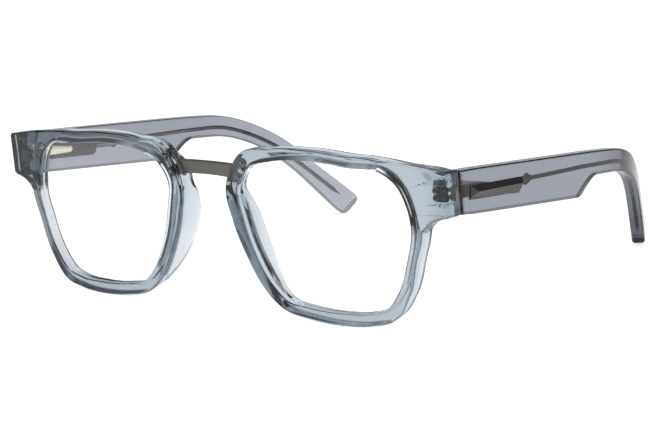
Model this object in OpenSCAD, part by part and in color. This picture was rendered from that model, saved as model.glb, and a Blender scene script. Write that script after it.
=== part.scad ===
/* [Front] */
// Width of the front over both endpieces
front_w = 145; // [140:0.5:150]
// Thickness of the rims
front_t = 5.2; // [4.2:0.1:6]
// Radius of the front's curve, seen from above
front_r = 410; // [300:5:1500]
// Width of one lens opening
eye_w = 49.5; // [48:0.1:53]
// Height of one lens opening
eye_h = 39.8; // [34:0.1:42]
// Gap between the two lens openings, across the nose
nose_gap = 24.1; // [22:0.1:27]
// Middle of the openings, below the top of the endpieces
eye_drop = 19.2; // [17:0.1:20]
// Height of the rim above the lens
rim_top = 2.9; // [2.7:0.05:5]
// Width of the rim at its upper corner beside the nose
rim_brow = 5.2; // [5.1:0.1:6.5]
// Width of the rim beside the nose
rim_nose = 3.4; // [3:0.1:4.5]
// Height of the rim below the lens
rim_low = 3.25; // [3:0.05:5]
// Width of the rim towards the temple
rim_side = 3.35; // [2.6:0.05:4]
// Rounding of the rim's outer edges
rim_round = 0.8; // [0.4:0.1:1.2]
// Bevel of the rim's edges at the opening
rim_bevel = 0.45; // [0.2:0.05:0.7]
// Fall of an endpiece's top edge towards the temple
lug_fall = 1.7; // [1:0.1:2.4]
// Height of an endpiece
lug_h = 12.9; // [11:0.1:14]
// Distance from the front to the joint face of an endpiece
lug_back = 12.4; // [11.8:0.1:13.5]

/* [Lenses] */
// Thickness of a lens
lens_t = 1.8; // [1.2:0.1:2]
// Depth of the groove that holds a lens
groove_d = 0.9; // [0.7:0.05:1.1]
// Clearance round a lens in its groove
lens_gap = 0.12; // [0.08:0.01:0.2]

/* [Nose] */
// Height of a nose pad above the back of its rim
pad_h = 5.6; // [3:0.05:7]
// Lean of a nose pad away from the nose, as a slope
pad_splay = -0.14; // [-0.2:0.01:0]
// Height of the bridge bar
bar_h = 3.4; // [3:0.1:4.4]
// Thickness of the bridge bar
bar_t = 1.6; // [1.4:0.1:2.2]
// Rise of the bridge bar at its middle
bar_arch = 0.2; // [0:0.1:1]
// Thickness of a bridge plate
plate_t = 1.1; // [0.8:0.1:1.3]
// Radius of the shank of a bridge screw
plate_screw_r = 0.5; // [0.4:0.05:0.6]

/* [Hinges] */
// Height of one hinge knuckle
knuckle_h = 0.88; // [0.7:0.02:1.1]
// Outer radius of a knuckle
knuckle_r = 1.3; // [1.2:0.05:1.5]
// Radius of the hinge screw
pin_r = 0.62; // [0.5:0.02:0.7]
// Radial clearance round the hinge screw
pin_gap = 0.04; // [0.02:0.01:0.08]
// Gap between two knuckles
knuckle_gap = 0.06; // [0.04:0.01:0.12]
// Thickness of the anchors sunk into the frame
anchor_t = 1.2; // [1:0.1:1.4]
// Size of a tooth on the anchors
tooth = 0.8; // [0.6:0.05:1]

/* [Temples] */
// Thickness of a temple at the joint
temple_t = 4.1; // [3.8:0.1:5]
// Thickness of a temple at its tip
tip_t = 3.9; // [2.8:0.05:4]
// Length from the joint to the start of the ear bend
shaft_l = 78; // [74:0.5:88]
// Length from the joint to the step in the lower edge
step_l = 59; // [55:0.5:62]
// Height of a temple above its middle line at the joint
butt_up = 4.75; // [4.7:0.05:5.6]
// Height of the endpiece's top over the top of a temple at the joint
butt_drop = 0.2; // [0.1:0.05:0.6]
// Depth of a temple below its middle line at the joint
butt_down = 6.8; // [6:0.1:7.4]
// Depth of a temple below its middle line at the step
step_down = 7.3; // [6:0.05:9]
// Depth of a temple below its middle line at the neck
neck_down = 1.9; // [1.8:0.1:3]
// Height of a temple above its middle line at the neck
neck_up = 3.1; // [2.8:0.1:4]
// Half of the width of the tip at its end
tip_half = 3.5; // [3.2:0.1:4.5]
// Slope of the temple's middle line, in degrees
shaft_slope = 10.1; // [8:0.1:12]
// Radius of the ear bend
bend_r = 50; // [40:0.5:60]
// Angle of the ear bend
bend_a = 36; // [32:0.1:42]
// Length of the tip past the bend
tip_l = 27; // [24:0.5:38]
// Curl of the tip past the bend, in degrees
tip_curl = 3.5; // [0:0.1:12]
// Inward slope of the tip, seen from above
tip_in = 0.53; // [0.2:0.01:0.6]
// Rounding of a temple's edges
temple_round = 0.7; // [0.4:0.05:1]
// Gap at the joint between an endpiece and its temple
joint_gap = 0.3; // [0.25:0.05:0.6]
// Height of the core wire
wire_h = 1.15; // [1:0.05:1.6]
// Thickness of the core wire
wire_t = 1.1; // [0.9:0.05:1.2]
// Clearance round the metal that is sunk into the frame
sink_gap = 0.05; // [0.03:0.01:0.1]
// Length of the plaque on a temple
plaque_l = 24.2; // [22:0.1:30]
// Height of the plaque at its front end
plaque_h = 3.1; // [2.6:0.1:3.6]
// Height of the plaque's ridge above the temple
plaque_rise = 1.1; // [0.6:0.1:1.4]

/* [Hidden] */

acetate = [0.64, 0.69, 0.73];
gunmetal = [0.42, 0.41, 0.39];
nickel = [0.75, 0.73, 0.68];

// Everything is drawn as worn on the left, x > 0, with y to the back and z up.
// Height zero is the top of the endpieces, and depth zero is the front at the nose.

// Outline of an opening, as shares of half its width and half its height,
// from the middle of its lower edge towards the temple and round over the top
eye_shape = [[0.175, -1.015], [0.455, -0.996], [0.65, -0.918], [0.821, -0.66], [0.94, -0.249],
    [1.009, 0.139], [0.975, 0.465], [0.876, 0.728], [0.728, 0.872], [0.315, 0.927], [-0.161, 0.986],
    [-0.576, 0.944], [-0.867, 0.832], [-1.01, 0.582], [-0.968, 0.148], [-0.838, -0.358],
    [-0.682, -0.698], [-0.508, -0.904], [-0.247, -0.978]];
// Width of the rim at each of those points
eye_rim = [rim_low + 0.15, rim_low, rim_side + 0.3, rim_side, rim_side - 0.2,
    rim_side + 0.1, rim_side + 0.7, rim_side + 0.7, rim_top - 0.1, rim_top + 0.2, rim_top,
    rim_top + 0.4, rim_brow - 0.6, rim_brow - 0.8, (rim_nose + rim_brow) / 2 - 0.3, rim_nose,
    rim_nose - 0.1, rim_low - 0.1, rim_low];
eye_x = (nose_gap + eye_w) / 2;
eye_knots = [for (p = eye_shape) [eye_x + p[0] * eye_w / 2, p[1] * eye_h / 2 - eye_drop]];

function round_index(v, i) = v[(i + 2 * len(v)) % len(v)];
function smooth(u) = let(c = min(max(u, 0), 1)) c * c * (3 - 2 * c);
function mix(a, b, u) = a + (b - a) * u;

// A closed curve through the points v. Its slopes weigh the two chords at each point.
function curve_slope(v, i) =
    let(a = round_index(v, i - 1), b = round_index(v, i), c = round_index(v, i + 1),
        d = norm(b - a), e = norm(c - b))
    ((b - a) / d * e + (c - b) / e * d) / (d + e);
function curve_at(v, t) =
    let(i = floor(t), f = t - i, p = round_index(v, i), q = round_index(v, i + 1), d = norm(q - p),
        m = curve_slope(v, i) * d, n = curve_slope(v, i + 1) * d)
    (2 * f ^ 3 - 3 * f ^ 2 + 1) * p + (f ^ 3 - 2 * f ^ 2 + f) * m
        + (3 * f ^ 2 - 2 * f ^ 3) * q + (f ^ 3 - f ^ 2) * n;
function bezier(a, b, c, d, u) =
    (1 - u) ^ 3 * a + 3 * u * (1 - u) ^ 2 * b + 3 * u * u * (1 - u) * c + u ^ 3 * d;

eye_delta = 0.01;
function eye_at(t) = curve_at(eye_knots, t);
function eye_dir(t) = let(v = eye_at(t + eye_delta) - eye_at(t - eye_delta)) v / norm(v);
function eye_out(t) = let(v = eye_dir(t)) [v[1], -v[0]];
function rim_width(t) = mix(round_index(eye_rim, floor(t)), round_index(eye_rim, floor(t) + 1),
    smooth(t - floor(t)));
function rim_at(t) = eye_at(t) + eye_out(t) * rim_width(t);

// Depth of the front's curve, and of its back, where the endpieces are thicker
function bow(x) = front_r - sqrt(front_r * front_r - x * x);
lug_in = front_w / 2 - 11;
lug_foot = -eye_drop + 1.5;
function back_at(p) =
    let(base = bow(p[0]) + front_t, lift = smooth((p[0] - lug_in) / 3.8) * smooth((p[1] - lug_foot) / 5))
    mix(base, lug_back, lift);

// The endpiece: a lower and an upper curve from the rim to two rounded corners
lug_x = front_w / 2;
lug_low_t = 4.85;
lug_high_t = 8.34;
corner_r = 0.9;
lug_low = [lug_x, -lug_h];
lug_high = [lug_x, -lug_fall];
lug_low_dir = [0.85, 0.53];
lug_high_dir = [-0.985, 0.17];
function lug_low_curve(u) = bezier(rim_at(lug_low_t), rim_at(lug_low_t) + eye_dir(lug_low_t) * 4.1,
    lug_low - lug_low_dir * 1.2, lug_low - lug_low_dir * corner_r, u);
function lug_high_curve(u) = bezier(lug_high + lug_high_dir * corner_r, lug_high + lug_high_dir * 6.7,
    rim_at(lug_high_t) - eye_dir(lug_high_t) * 6.4, rim_at(lug_high_t), u);
function corner(a, b, c, u) = (1 - u) ^ 2 * a + 2 * u * (1 - u) * b + u * u * c;

// Stations round the rim, each with its place on the opening and its outer point
low_n = 8;
side_n = 3;
high_n = 9;
loop_n = 52;
lug_stations = [
    for (i = [0:low_n]) [mix(lug_low_t, 5.7, i / low_n), lug_low_curve(i / low_n)],
    [5.78, corner(lug_low - lug_low_dir * corner_r, lug_low, lug_low + [0, corner_r], 0.5)],
    for (i = [0:side_n]) [mix(5.86, 6.6, i / side_n),
        [lug_x, mix(corner_r - lug_h, -lug_fall - corner_r, i / side_n)]],
    [6.68, corner(lug_high - [0, corner_r], lug_high, lug_high + lug_high_dir * corner_r, 0.5)],
    for (i = [0:high_n]) [mix(6.76, lug_high_t, i / high_n), lug_high_curve(i / high_n)]];
loop_span = len(eye_shape) - lug_high_t + lug_low_t;
loop_stations = [for (i = [1:loop_n - 1])
    let(t = lug_high_t + loop_span * i / loop_n) [t, rim_at(t)]];
stations = concat(lug_stations, loop_stations);
station_n = len(stations);
function outer(i) = round_index(stations, i)[1];
function outer_out(i) = let(v = outer(i + 1) - outer(i - 1)) [v[1], -v[0]] / norm(v);

// Section of the rim at a station, from the back of the opening round the front and outer wall
groove_y = front_t / 2 - 0.1;
groove_half = lens_t / 2 + 0.15;
function at_depth(p, y) = [p[0], bow(p[0]) + y, p[1]];
function at_back(p, up) = [p[0], back_at(p) - up, p[1]];
function rim_section(i) =
    let(t = stations[i][0], p = eye_at(t), n = eye_out(t), o = outer(i), m = outer_out(i),
        d = o - p, r = rim_round, b = rim_bevel)
    [at_back(p + n * b, 0), at_back(p, b), at_depth(p, groove_y + groove_half),
        at_depth(p + n * groove_d, groove_y), at_depth(p, groove_y - groove_half),
        at_depth(p, b), at_depth(p + n * b, 0), at_depth(o - m * r, 0), at_depth(o - m * r * 0.3, r * 0.3),
        at_depth(o, r), at_back(o, r), at_back(o - m * r * 0.3, r * 0.3), at_back(o - m * r, 0),
        at_back(p + d * 0.32, 0)];
rim_rings = [for (i = [station_n - 1:-1:0]) rim_section(i)];

function ring_points(rings) = [for (r = rings) for (p = r) p];
function ring_faces(n, k, closed) = [
    for (i = [0:n - (closed ? 1 : 2)]) for (j = [0:k - 1])
        let(a = i * k + j, b = i * k + (j + 1) % k,
            c = ((i + 1) % n) * k + (j + 1) % k, d = ((i + 1) % n) * k + j)
        each [[a, b, c], [a, c, d]],
    if (!closed) [for (j = [k - 1:-1:0]) j],
    if (!closed) [for (j = [0:k - 1]) (n - 1) * k + j]];
module loft(rings, closed = false) {
    polyhedron(ring_points(rings), ring_faces(len(rings), len(rings[0]), closed), convexity = 8);
}
// The same form on the right, x < 0
module side(left) {
    if (left) children();
    else mirror([1, 0, 0]) children();
}

// The middle line of a temple in its side view, and the inward run of its tip
butt_y = lug_back + joint_gap;
line_z = -lug_fall - butt_drop - butt_up;
bend_end = shaft_l + bend_r * bend_a * PI / 180;
temple_l = bend_end + tip_l;
bend_y = butt_y + shaft_l * cos(shaft_slope);
bend_z = line_z - shaft_l * sin(shaft_slope);
full_bend = shaft_slope + bend_a;
tip_y = bend_y + bend_r * (sin(full_bend) - sin(shaft_slope));
tip_z = bend_z - bend_r * (cos(shaft_slope) - cos(full_bend));
function turn(s) = s < shaft_l ? 0 : s < bend_end ? (s - shaft_l) / bend_r * 180 / PI
    : bend_a + tip_curl * (s - bend_end) / tip_l;
function line_at(s) = s < shaft_l
    ? [butt_y + s * cos(shaft_slope), line_z - s * sin(shaft_slope)]
    : s < bend_end
    ? let(a = shaft_slope + turn(s)) [bend_y + bend_r * (sin(a) - sin(shaft_slope)),
        bend_z - bend_r * (cos(shaft_slope) - cos(a))]
    : let(a = full_bend + tip_curl * (s - bend_end) / tip_l / 2)
        [tip_y + (s - bend_end) * cos(a), tip_z - (s - bend_end) * sin(a)];
in_start = butt_y + shaft_l + 9;
in_soft = 11;
function run_in(y) = let(u = y - in_start) tip_in * (sqrt(u * u + in_soft * in_soft) + u) / 2;
function temple_thick(s) = mix(temple_t, tip_t, smooth(s / temple_l));
step_run = 9.9;
function up_at(s) = mix(mix(butt_up, neck_up, smooth((s - shaft_l + 17) / (shaft_l - 10))), tip_half,
    smooth((s - bend_end) / tip_l));
function down_at(s) = s < step_l ? mix(butt_down, step_down, s / step_l)
    : mix(mix(step_down, neck_down, sin(90 * min((s - step_l) / step_run, 1)) ^ 1.15), tip_half,
        smooth((s - bend_end) / tip_l));

// A point beside the middle line: up across the temple, and in from its outer face,
// which turns inwards about an upright axis towards the tip. The joint face is upright.
function temple_point(s, up, inward) =
    let(p = line_at(s), a = shaft_slope + turn(s), y = p[0] + up * sin(a) * smooth(s / 8),
        yaw = atan(run_in(y + 0.5) - run_in(y - 0.5)))
    [front_w / 2 - run_in(y) - inward * cos(yaw), y - inward * sin(yaw), p[1] + up * cos(a)];
function edge_box(s, up, down, t, r) = [
    temple_point(s, up - r, 0), temple_point(s, up - 0.3 * r, 0.3 * r), temple_point(s, up, r),
    temple_point(s, up, t - r), temple_point(s, up - 0.3 * r, t - 0.3 * r), temple_point(s, up - r, t),
    temple_point(s, r - down, t), temple_point(s, 0.3 * r - down, t - 0.3 * r), temple_point(s, -down, t - r),
    temple_point(s, -down, r), temple_point(s, 0.3 * r - down, 0.3 * r), temple_point(s, r - down, 0)];
tip_round = 2.6;
tip_steps = 5;
temple_stations = concat(
    [for (s = [0, 20, 40, 54, step_l - 1, step_l]) s],
    [for (i = [1:7]) step_l + step_run * i / 7],
    [for (i = [1:2]) mix(step_l + step_run, shaft_l, i / 2)],
    [for (i = [1:11]) mix(shaft_l, bend_end, i / 11)],
    [for (i = [1:4]) mix(bend_end, temple_l - tip_round, i / 4)],
    [for (i = [1:tip_steps]) temple_l - tip_round + tip_round * sin(90 * i / tip_steps)]);
function tip_cut(s) = s < temple_l - tip_round ? 0
    : tip_round * (1 - sqrt(1 - ((s - temple_l + tip_round) / tip_round) ^ 2)) * 0.97;
temple_rings = [for (s = temple_stations)
    let(c = tip_cut(s), t = temple_thick(s), r = temple_round)
    edge_box(s, up_at(s) - c, down_at(s) - c, t, r)];

// Standing on the rims and the tips: the tilt, and the origin under the middle
rim_low_y = bow(eye_x) + front_t - rim_round;
rim_low_z = min([for (r = rim_rings) for (p = r) p[2]]);
tip_low_z = min([for (r = temple_rings) for (p = r) p[2]]);
tip_low_y = [for (r = temple_rings) for (p = r) if (p[2] == tip_low_z) p[1]][0];
stand_a = atan((rim_low_z - tip_low_z) / (tip_low_y - rim_low_y));
function tilted(p) = [p[0], p[1] * cos(stand_a) - p[2] * sin(stand_a),
    p[1] * sin(stand_a) + p[2] * cos(stand_a)];
all_tilted = [for (rings = [rim_rings, temple_rings]) for (r = rings) for (p = r) tilted(p)];
low_z = min([for (p = all_tilted) p[2]]);
mid_y = (min([for (p = all_tilted) p[1]]) + max([for (p = all_tilted) p[1]])) / 2;
module stand() {
    translate([0, -mid_y, -low_z]) rotate([stand_a, 0, 0]) children();
}

// The hinge line, behind the endpiece and inside the temple
hinge_x = front_w / 2 - temple_t - 2.1;
hinge_y = lug_back + knuckle_r + 0.4;
hinge_z = line_z - 0.9;
knuckle_n = 5;
knuckle_step = knuckle_h + knuckle_gap;
hinge_half = (knuckle_n * knuckle_step - knuckle_gap) / 2;
function knuckle_z(i) = hinge_z - hinge_half + i * knuckle_step;
anchor_x = front_w / 2 - 3.3;
anchor_h = 4.0;
anchor_w = 4.2;
anchor_y = lug_back - 3.2;
screw_head_r = 1.1;
screw_head_h = 0.6;

// A toothed bar: length along x from zero, height h about zero, teeth on its far end or its upper edge
module toothed_end(l, h) {
    n = 3;
    polygon(concat([[0, -h / 2], [0, h / 2], [l - tooth, h / 2]],
        [for (i = [0:n - 1]) each [[l, h / 2 - h * (i + 0.25) / n], [l - tooth, h / 2 - h * (i + 0.75) / n]]],
        [[l - tooth, -h / 2]]));
}
comb_pitch = 1.15;
comb_slot = 1.3;
module toothed_top(l, h) {
    n = floor(l / comb_pitch);
    p = l / n;
    polygon(concat([[0, -h / 2], [0, h / 2]],
        [for (i = [1:n - 1]) each [[i * p - 0.3, h / 2], [i * p - 0.2, h / 2 - comb_slot],
            [i * p + 0.2, h / 2 - comb_slot], [i * p + 0.3, h / 2]]],
        [[l, h / 2], [l, tooth - h / 2], [l - tooth, -h / 2]]));
}

// The anchor of the front hinge, in the back of the endpiece
module front_anchor(grow) {
    translate([anchor_x + anchor_w / 2 + grow, anchor_y - grow, hinge_z]) rotate([-90, 0, 0])
        linear_extrude(lug_back - anchor_y + grow) offset(delta = grow) mirror([1, 0])
            toothed_end(anchor_w, anchor_h);
    translate([hinge_x - knuckle_r - grow, lug_back - anchor_t - grow, hinge_z - anchor_h / 2 - grow])
        cube([anchor_x - anchor_w / 2 + tooth - hinge_x + knuckle_r + 2 * grow, anchor_t + grow,
            anchor_h + 2 * grow]);
}
module knuckles(which) {
    for (i = which) translate([hinge_x, hinge_y, knuckle_z(i)])
        cylinder(h = knuckle_h, r = knuckle_r, $fn = 48);
}
module pin_bore() {
    translate([hinge_x, hinge_y, hinge_z - hinge_half - 1])
        cylinder(h = 2 * hinge_half + 2, r = pin_r + pin_gap, $fn = 48);
}
module hinge_front() {
    color(nickel) difference() {
        union() {
            front_anchor(0);
            knuckles([1, 3]);
            for (i = [1, 3]) translate([hinge_x - knuckle_r, lug_back - anchor_t, knuckle_z(i)])
                cube([2 * knuckle_r, hinge_y - lug_back + anchor_t, knuckle_h]);
        }
        pin_bore();
    }
}
module hinge_screw() {
    top = hinge_z + hinge_half;
    color(nickel) difference() {
        union() {
            translate([hinge_x, hinge_y, hinge_z - hinge_half])
                cylinder(h = 2 * hinge_half + 0.1, r = pin_r, $fn = 48);
            translate([hinge_x, hinge_y, top + 0.02]) cylinder(h = screw_head_h, r = screw_head_r, $fn = 48);
        }
        translate([hinge_x - 2, hinge_y - 0.14, top + 0.02 + screw_head_h / 2]) cube([4, 0.28, 1]);
    }
}

// The temple's hinge: three knuckles, a raised leaf and a comb sunk into the temple
leaf_out = front_w / 2 - temple_t + 1.2;
leaf_in = hinge_x + 1.0;
leaf_l = 13.2;
comb_l = 10.8;
comb_h = 2.7;
comb_z = -1.9;
comb_s = leaf_l - 1;
module on_shaft() {
    translate([0, butt_y, line_z]) rotate([-shaft_slope, 0, 0]) children();
}
module comb(grow) {
    on_shaft() translate([leaf_out - anchor_t - grow, comb_s, comb_z]) rotate([90, 0, 90])
        linear_extrude(anchor_t + 2 * grow) offset(delta = grow) toothed_top(comb_l, comb_h);
}
// Its front end is as tall as the knuckles, and its rear end as tall as the comb
leaf_y = hinge_y + knuckle_r + 0.35;
leaf_end_z = line_z + comb_z - (leaf_l - 1) * sin(shaft_slope);
module leaf(grow) {
    translate([leaf_out + grow, 0, 0]) rotate([0, -90, 0]) linear_extrude(leaf_out - leaf_in + 2 * grow)
        polygon([[hinge_z - 2.1 - grow, leaf_y - grow], [hinge_z + 1.7 + grow, leaf_y - grow],
            [leaf_end_z + comb_h / 2 + grow, butt_y + leaf_l + grow],
            [leaf_end_z - comb_h / 2 - grow, butt_y + leaf_l + grow]]);
}
module hinge_temple() {
    color(nickel) difference() {
        union() {
            leaf(0);
            comb(0);
            knuckles([0, 2, 4]);
            for (i = [0, 2, 4]) translate([hinge_x, hinge_y, knuckle_z(i)])
                cube([knuckle_r, knuckle_r + 0.6, knuckle_h]);
        }
        pin_bore();
    }
}

// The core wire: a ribbed root, a flat shield, and a wire to a point near the tip
wire_s0 = comb_s + comb_l + 0.15;
wire_in = front_w / 2 - leaf_out + anchor_t / 2;
wire_end = temple_l - 6;
rib_n = 8;
shield_s = 35.5;
function wire_drop(s) = 1.05 * smooth((56 - s) / 20) + 1.45 * smooth((36 - s) / 12) - 0.6;
function wire_half(s) = s > wire_end - 3 ? max(wire_h / 2 * (wire_end - s) / 3, 0.12)
    : wire_h / 2 + 0.75 * max(0, 1 - abs(s - shield_s) / 2.6);
wire_stations = concat(
    [for (i = [0:rib_n]) wire_s0 + i * 0.75],
    [shield_s - 2.6, shield_s, shield_s + 2.6, 44, 50, 57, 65, shaft_l],
    [for (i = [1:11]) mix(shaft_l, bend_end, i / 11)],
    [for (i = [1:3]) mix(bend_end, wire_end - 3, i / 3)], [wire_end]);
module wire(grow) {
    loft([for (k = [0:len(wire_stations) - 1])
        let(s = wire_stations[k] + (k == 0 ? 0 : grow * (k == len(wire_stations) - 1 ? 1 : 0)),
            rib = k <= rib_n && k % 2 == 1 ? 0.25 : 0, h = wire_half(wire_stations[k]) + rib + grow,
            mid = mix(wire_in, temple_thick(s) / 2, smooth((s - 60) / 30)), w = wire_t / 2 + grow,
            c = -wire_drop(s))
        [temple_point(s, c + h, mid - w), temple_point(s, c + h, mid + w),
            temple_point(s, c - h, mid + w), temple_point(s, c - h, mid - w)]]);
}
module core_wire() {
    color(gunmetal) wire(0);
}

// The plaque: a bar with a long ridge, let into the outer face
plaque_s = 4.5;
plaque_sink = 0.5;
plaque_end_h = plaque_h + 1;
plaque_lean = 1.5;
plaque_up = 1.0;
plaque_tilt = 0.45;
function plaque_outline(g) = [[-g, plaque_up - plaque_tilt + g],
    [-g, plaque_up - plaque_tilt - plaque_h - g],
    [plaque_l - plaque_lean + g, plaque_up - plaque_end_h - g], [plaque_l + g, plaque_up + g]];
module plaque_slab(grow) {
    on_shaft() translate([front_w / 2 - plaque_sink - grow, plaque_s, 0]) rotate([90, 0, 90])
        linear_extrude(plaque_sink + 2 * grow + (grow > 0 ? 2 : 0)) polygon(plaque_outline(grow));
}
module plaque() {
    o = plaque_outline(0);
    ridge = [[0.65 * plaque_h, plaque_up - plaque_tilt - plaque_h / 2],
        [plaque_l - 1.2, plaque_up - 0.37 * plaque_end_h]];
    color(gunmetal) on_shaft() translate([front_w / 2, plaque_s, 0]) rotate([90, 0, 90])
        polyhedron([for (z = [-plaque_sink, 0]) for (p = o) [p[0], p[1], z],
            for (p = ridge) [p[0], p[1], plaque_rise]],
            [[0, 1, 2, 3], [0, 4, 5], [0, 5, 1], [1, 5, 6], [1, 6, 2], [2, 6, 7], [2, 7, 3],
                [3, 7, 4], [3, 4, 0], [4, 8, 5], [5, 8, 9], [5, 9, 6], [6, 9, 7], [7, 9, 8], [7, 8, 4]]);
}

module temple() {
    color(acetate) difference() {
        loft(temple_rings);
        wire(sink_gap);
        comb(sink_gap);
        leaf(sink_gap);
        plaque_slab(sink_gap);
    }
}

// The bridge: two plates in pockets cut from behind, and a bar between them
plate_y = 2.9;
bar_y = plate_y + plate_t / 2 - bar_t / 2;
bar_top = -2.7;
eye_screw = [nose_gap / 2 - 0.7, -1.75];
low_screw = [nose_gap / 2 - 1.9, -5.75];
plate_top = [nose_gap / 2 - 1.7, -0.45];
plate_low = [nose_gap / 2 - 4.4, -7.05];
function plate_edge(z) = mix(plate_low[0], plate_top[0], (z - plate_low[1]) / (plate_top[1] - plate_low[1]));
module plate_outline() {
    polygon([plate_top, [plate_low[0], plate_low[1]], [plate_low[0] + 3.6, plate_low[1]],
        [plate_low[0] + 3.4, -4.75], [plate_edge(-3.45) + 2.0, -3.45],
        [eye_screw[0], -2.25], [eye_screw[0], -0.2]]);
    translate(eye_screw) circle(r = 1.6, $fn = 40);
    translate(low_screw) circle(r = 1.4, $fn = 40);
}
// A flat outline in x and z, drawn out to the back from depth y
module upright(y, t) {
    translate([0, y + t, 0]) rotate([90, 0, 0]) linear_extrude(t) children();
}
module bridge_plate() {
    color(gunmetal) difference() {
        upright(plate_y, plate_t) plate_outline();
        for (c = [eye_screw, low_screw]) translate([c[0], plate_y - 1, c[1]]) rotate([-90, 0, 0])
            cylinder(h = plate_t + 2, r = plate_screw_r + 0.05, $fn = 32);
    }
}
module bridge_screws() {
    color(nickel) for (c = [eye_screw, low_screw]) translate([c[0], plate_y - 0.8, c[1]]) rotate([-90, 0, 0])
        difference() {
            union() {
                cylinder(h = 0.8 + plate_t + 0.1, r = plate_screw_r, $fn = 32);
                translate([0, 0, 0.8 + plate_t]) cylinder(h = 0.6, r = 1.0, $fn = 32);
            }
            translate([-2, -0.14, 0.8 + plate_t + 0.3]) cube([4, 0.28, 1]);
        }
}
function arch(x) = bar_arch * (1 - (x / plate_edge(bar_top)) ^ 2);
bar_steps = 12;
module bar_outline(g) {
    x1 = plate_edge(bar_top) + g;
    x0 = plate_edge(bar_top - bar_h) + g;
    polygon(concat([for (i = [0:bar_steps]) let(x = mix(-x1, x1, i / bar_steps)) [x, bar_top + arch(x) + g]],
        [for (i = [bar_steps:-1:0]) let(x = mix(-x0, x0, i / bar_steps))
            [x, bar_top - bar_h + 2.5 * arch(x) - g]]));
}
module bridge_bar() {
    color(gunmetal) upright(bar_y, bar_t) bar_outline(0);
}
module bridge_pocket() {
    upright(plate_y - sink_gap, front_t) offset(delta = sink_gap) plate_outline();
    upright(bar_y - sink_gap, front_t) bar_outline(sink_gap);
    for (c = [eye_screw, low_screw]) translate([c[0], plate_y - 0.9, c[1]]) rotate([-90, 0, 0])
        cylinder(h = front_t, r = plate_screw_r + 0.05, $fn = 32);
}

module rim() {
    color(acetate) difference() {
        loft(rim_rings, true);
        bridge_pocket();
        front_anchor(sink_gap);
    }
}

// A lens: flat rings that follow the front's curve, with a bevel in the groove
lens_n = 48;
lens_rise = groove_d - lens_gap;
function lens_ring(share, off, y) = [for (i = [0:lens_n - 1])
    let(t = len(eye_shape) * i / lens_n, p = eye_at(t) + eye_out(t) * off,
        c = [eye_x, -eye_drop], q = c + (p - c) * share)
    at_depth(q, y)];
module lens() {
    f = groove_y - lens_t / 2;
    b = groove_y + lens_t / 2;
    color([0.9, 0.95, 1, 0.4]) loft([for (k = [0.02, 0.35, 0.7, 1]) lens_ring(k, -lens_gap, f),
        lens_ring(1, lens_rise, groove_y), for (k = [1, 0.7, 0.35, 0.02]) lens_ring(k, -lens_gap, b)]);
}

// A nose pad, cemented to the back of the rim beside the nose
pad_t0 = 13.1;
pad_t1 = 17.2;
pad_n = 18;
pad_seat = 0.04;
function pad_height(u) = 0.15 + pad_h * sin(180 * u ^ 0.62) ^ 1.3;
function pad_section(u) =
    let(t = mix(pad_t0, pad_t1, u), p = eye_at(t), n = eye_out(t), w = rim_width(t) - 0.1,
        h = pad_height(u), lean = pad_splay * h, e = min(0.9, h * 0.5), crest = w - lean - 1.3 * e)
    [for (k = [[0.35, 0], [0.4 + h * 0.1, h * 0.5], [0.6 + e * 0.2 + h * 0.16, h - e * 0.5],
        [min(0.9 + e + h * 0.06, crest - 0.3), h], [crest, h],
        [w - lean - e * 0.3, h - e * 0.7], [w - lean * 0.5, h * 0.45], [w - rim_round * 0.3, 0]])
        let(q = p + n * k[0]) [q[0], back_at(q) + pad_seat + k[1], q[1]]];
module nose_pad() {
    color(acetate) loft([for (i = [0:pad_n]) pad_section(i / pad_n)]);
}

stand() side(true) rim();  // rim_left
stand() side(false) rim();  // rim_right
stand() side(true) lens();  // lens_left
stand() side(false) lens();  // lens_right
stand() side(true) nose_pad();  // nose_pad_left
stand() side(false) nose_pad();  // nose_pad_right
stand() bridge_bar();
stand() side(true) bridge_plate();  // bridge_plate_left
stand() side(false) bridge_plate();  // bridge_plate_right
stand() side(true) bridge_screws();  // bridge_screws_left
stand() side(false) bridge_screws();  // bridge_screws_right
stand() side(true) hinge_front();  // hinge_front_left
stand() side(false) hinge_front();  // hinge_front_right
stand() side(true) hinge_screw();  // hinge_screw_left
stand() side(false) hinge_screw();  // hinge_screw_right
stand() side(true) temple();  // temple_left
stand() side(false) temple();  // temple_right
stand() side(true) hinge_temple();  // hinge_temple_left
stand() side(false) hinge_temple();  // hinge_temple_right
stand() side(true) core_wire();  // core_wire_left
stand() side(false) core_wire();  // core_wire_right
stand() side(true) plaque();  // plaque_left
stand() side(false) plaque();  // plaque_right
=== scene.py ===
import math

import bmesh
import bpy
import numpy as np
from mathutils import Matrix, Vector


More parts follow.
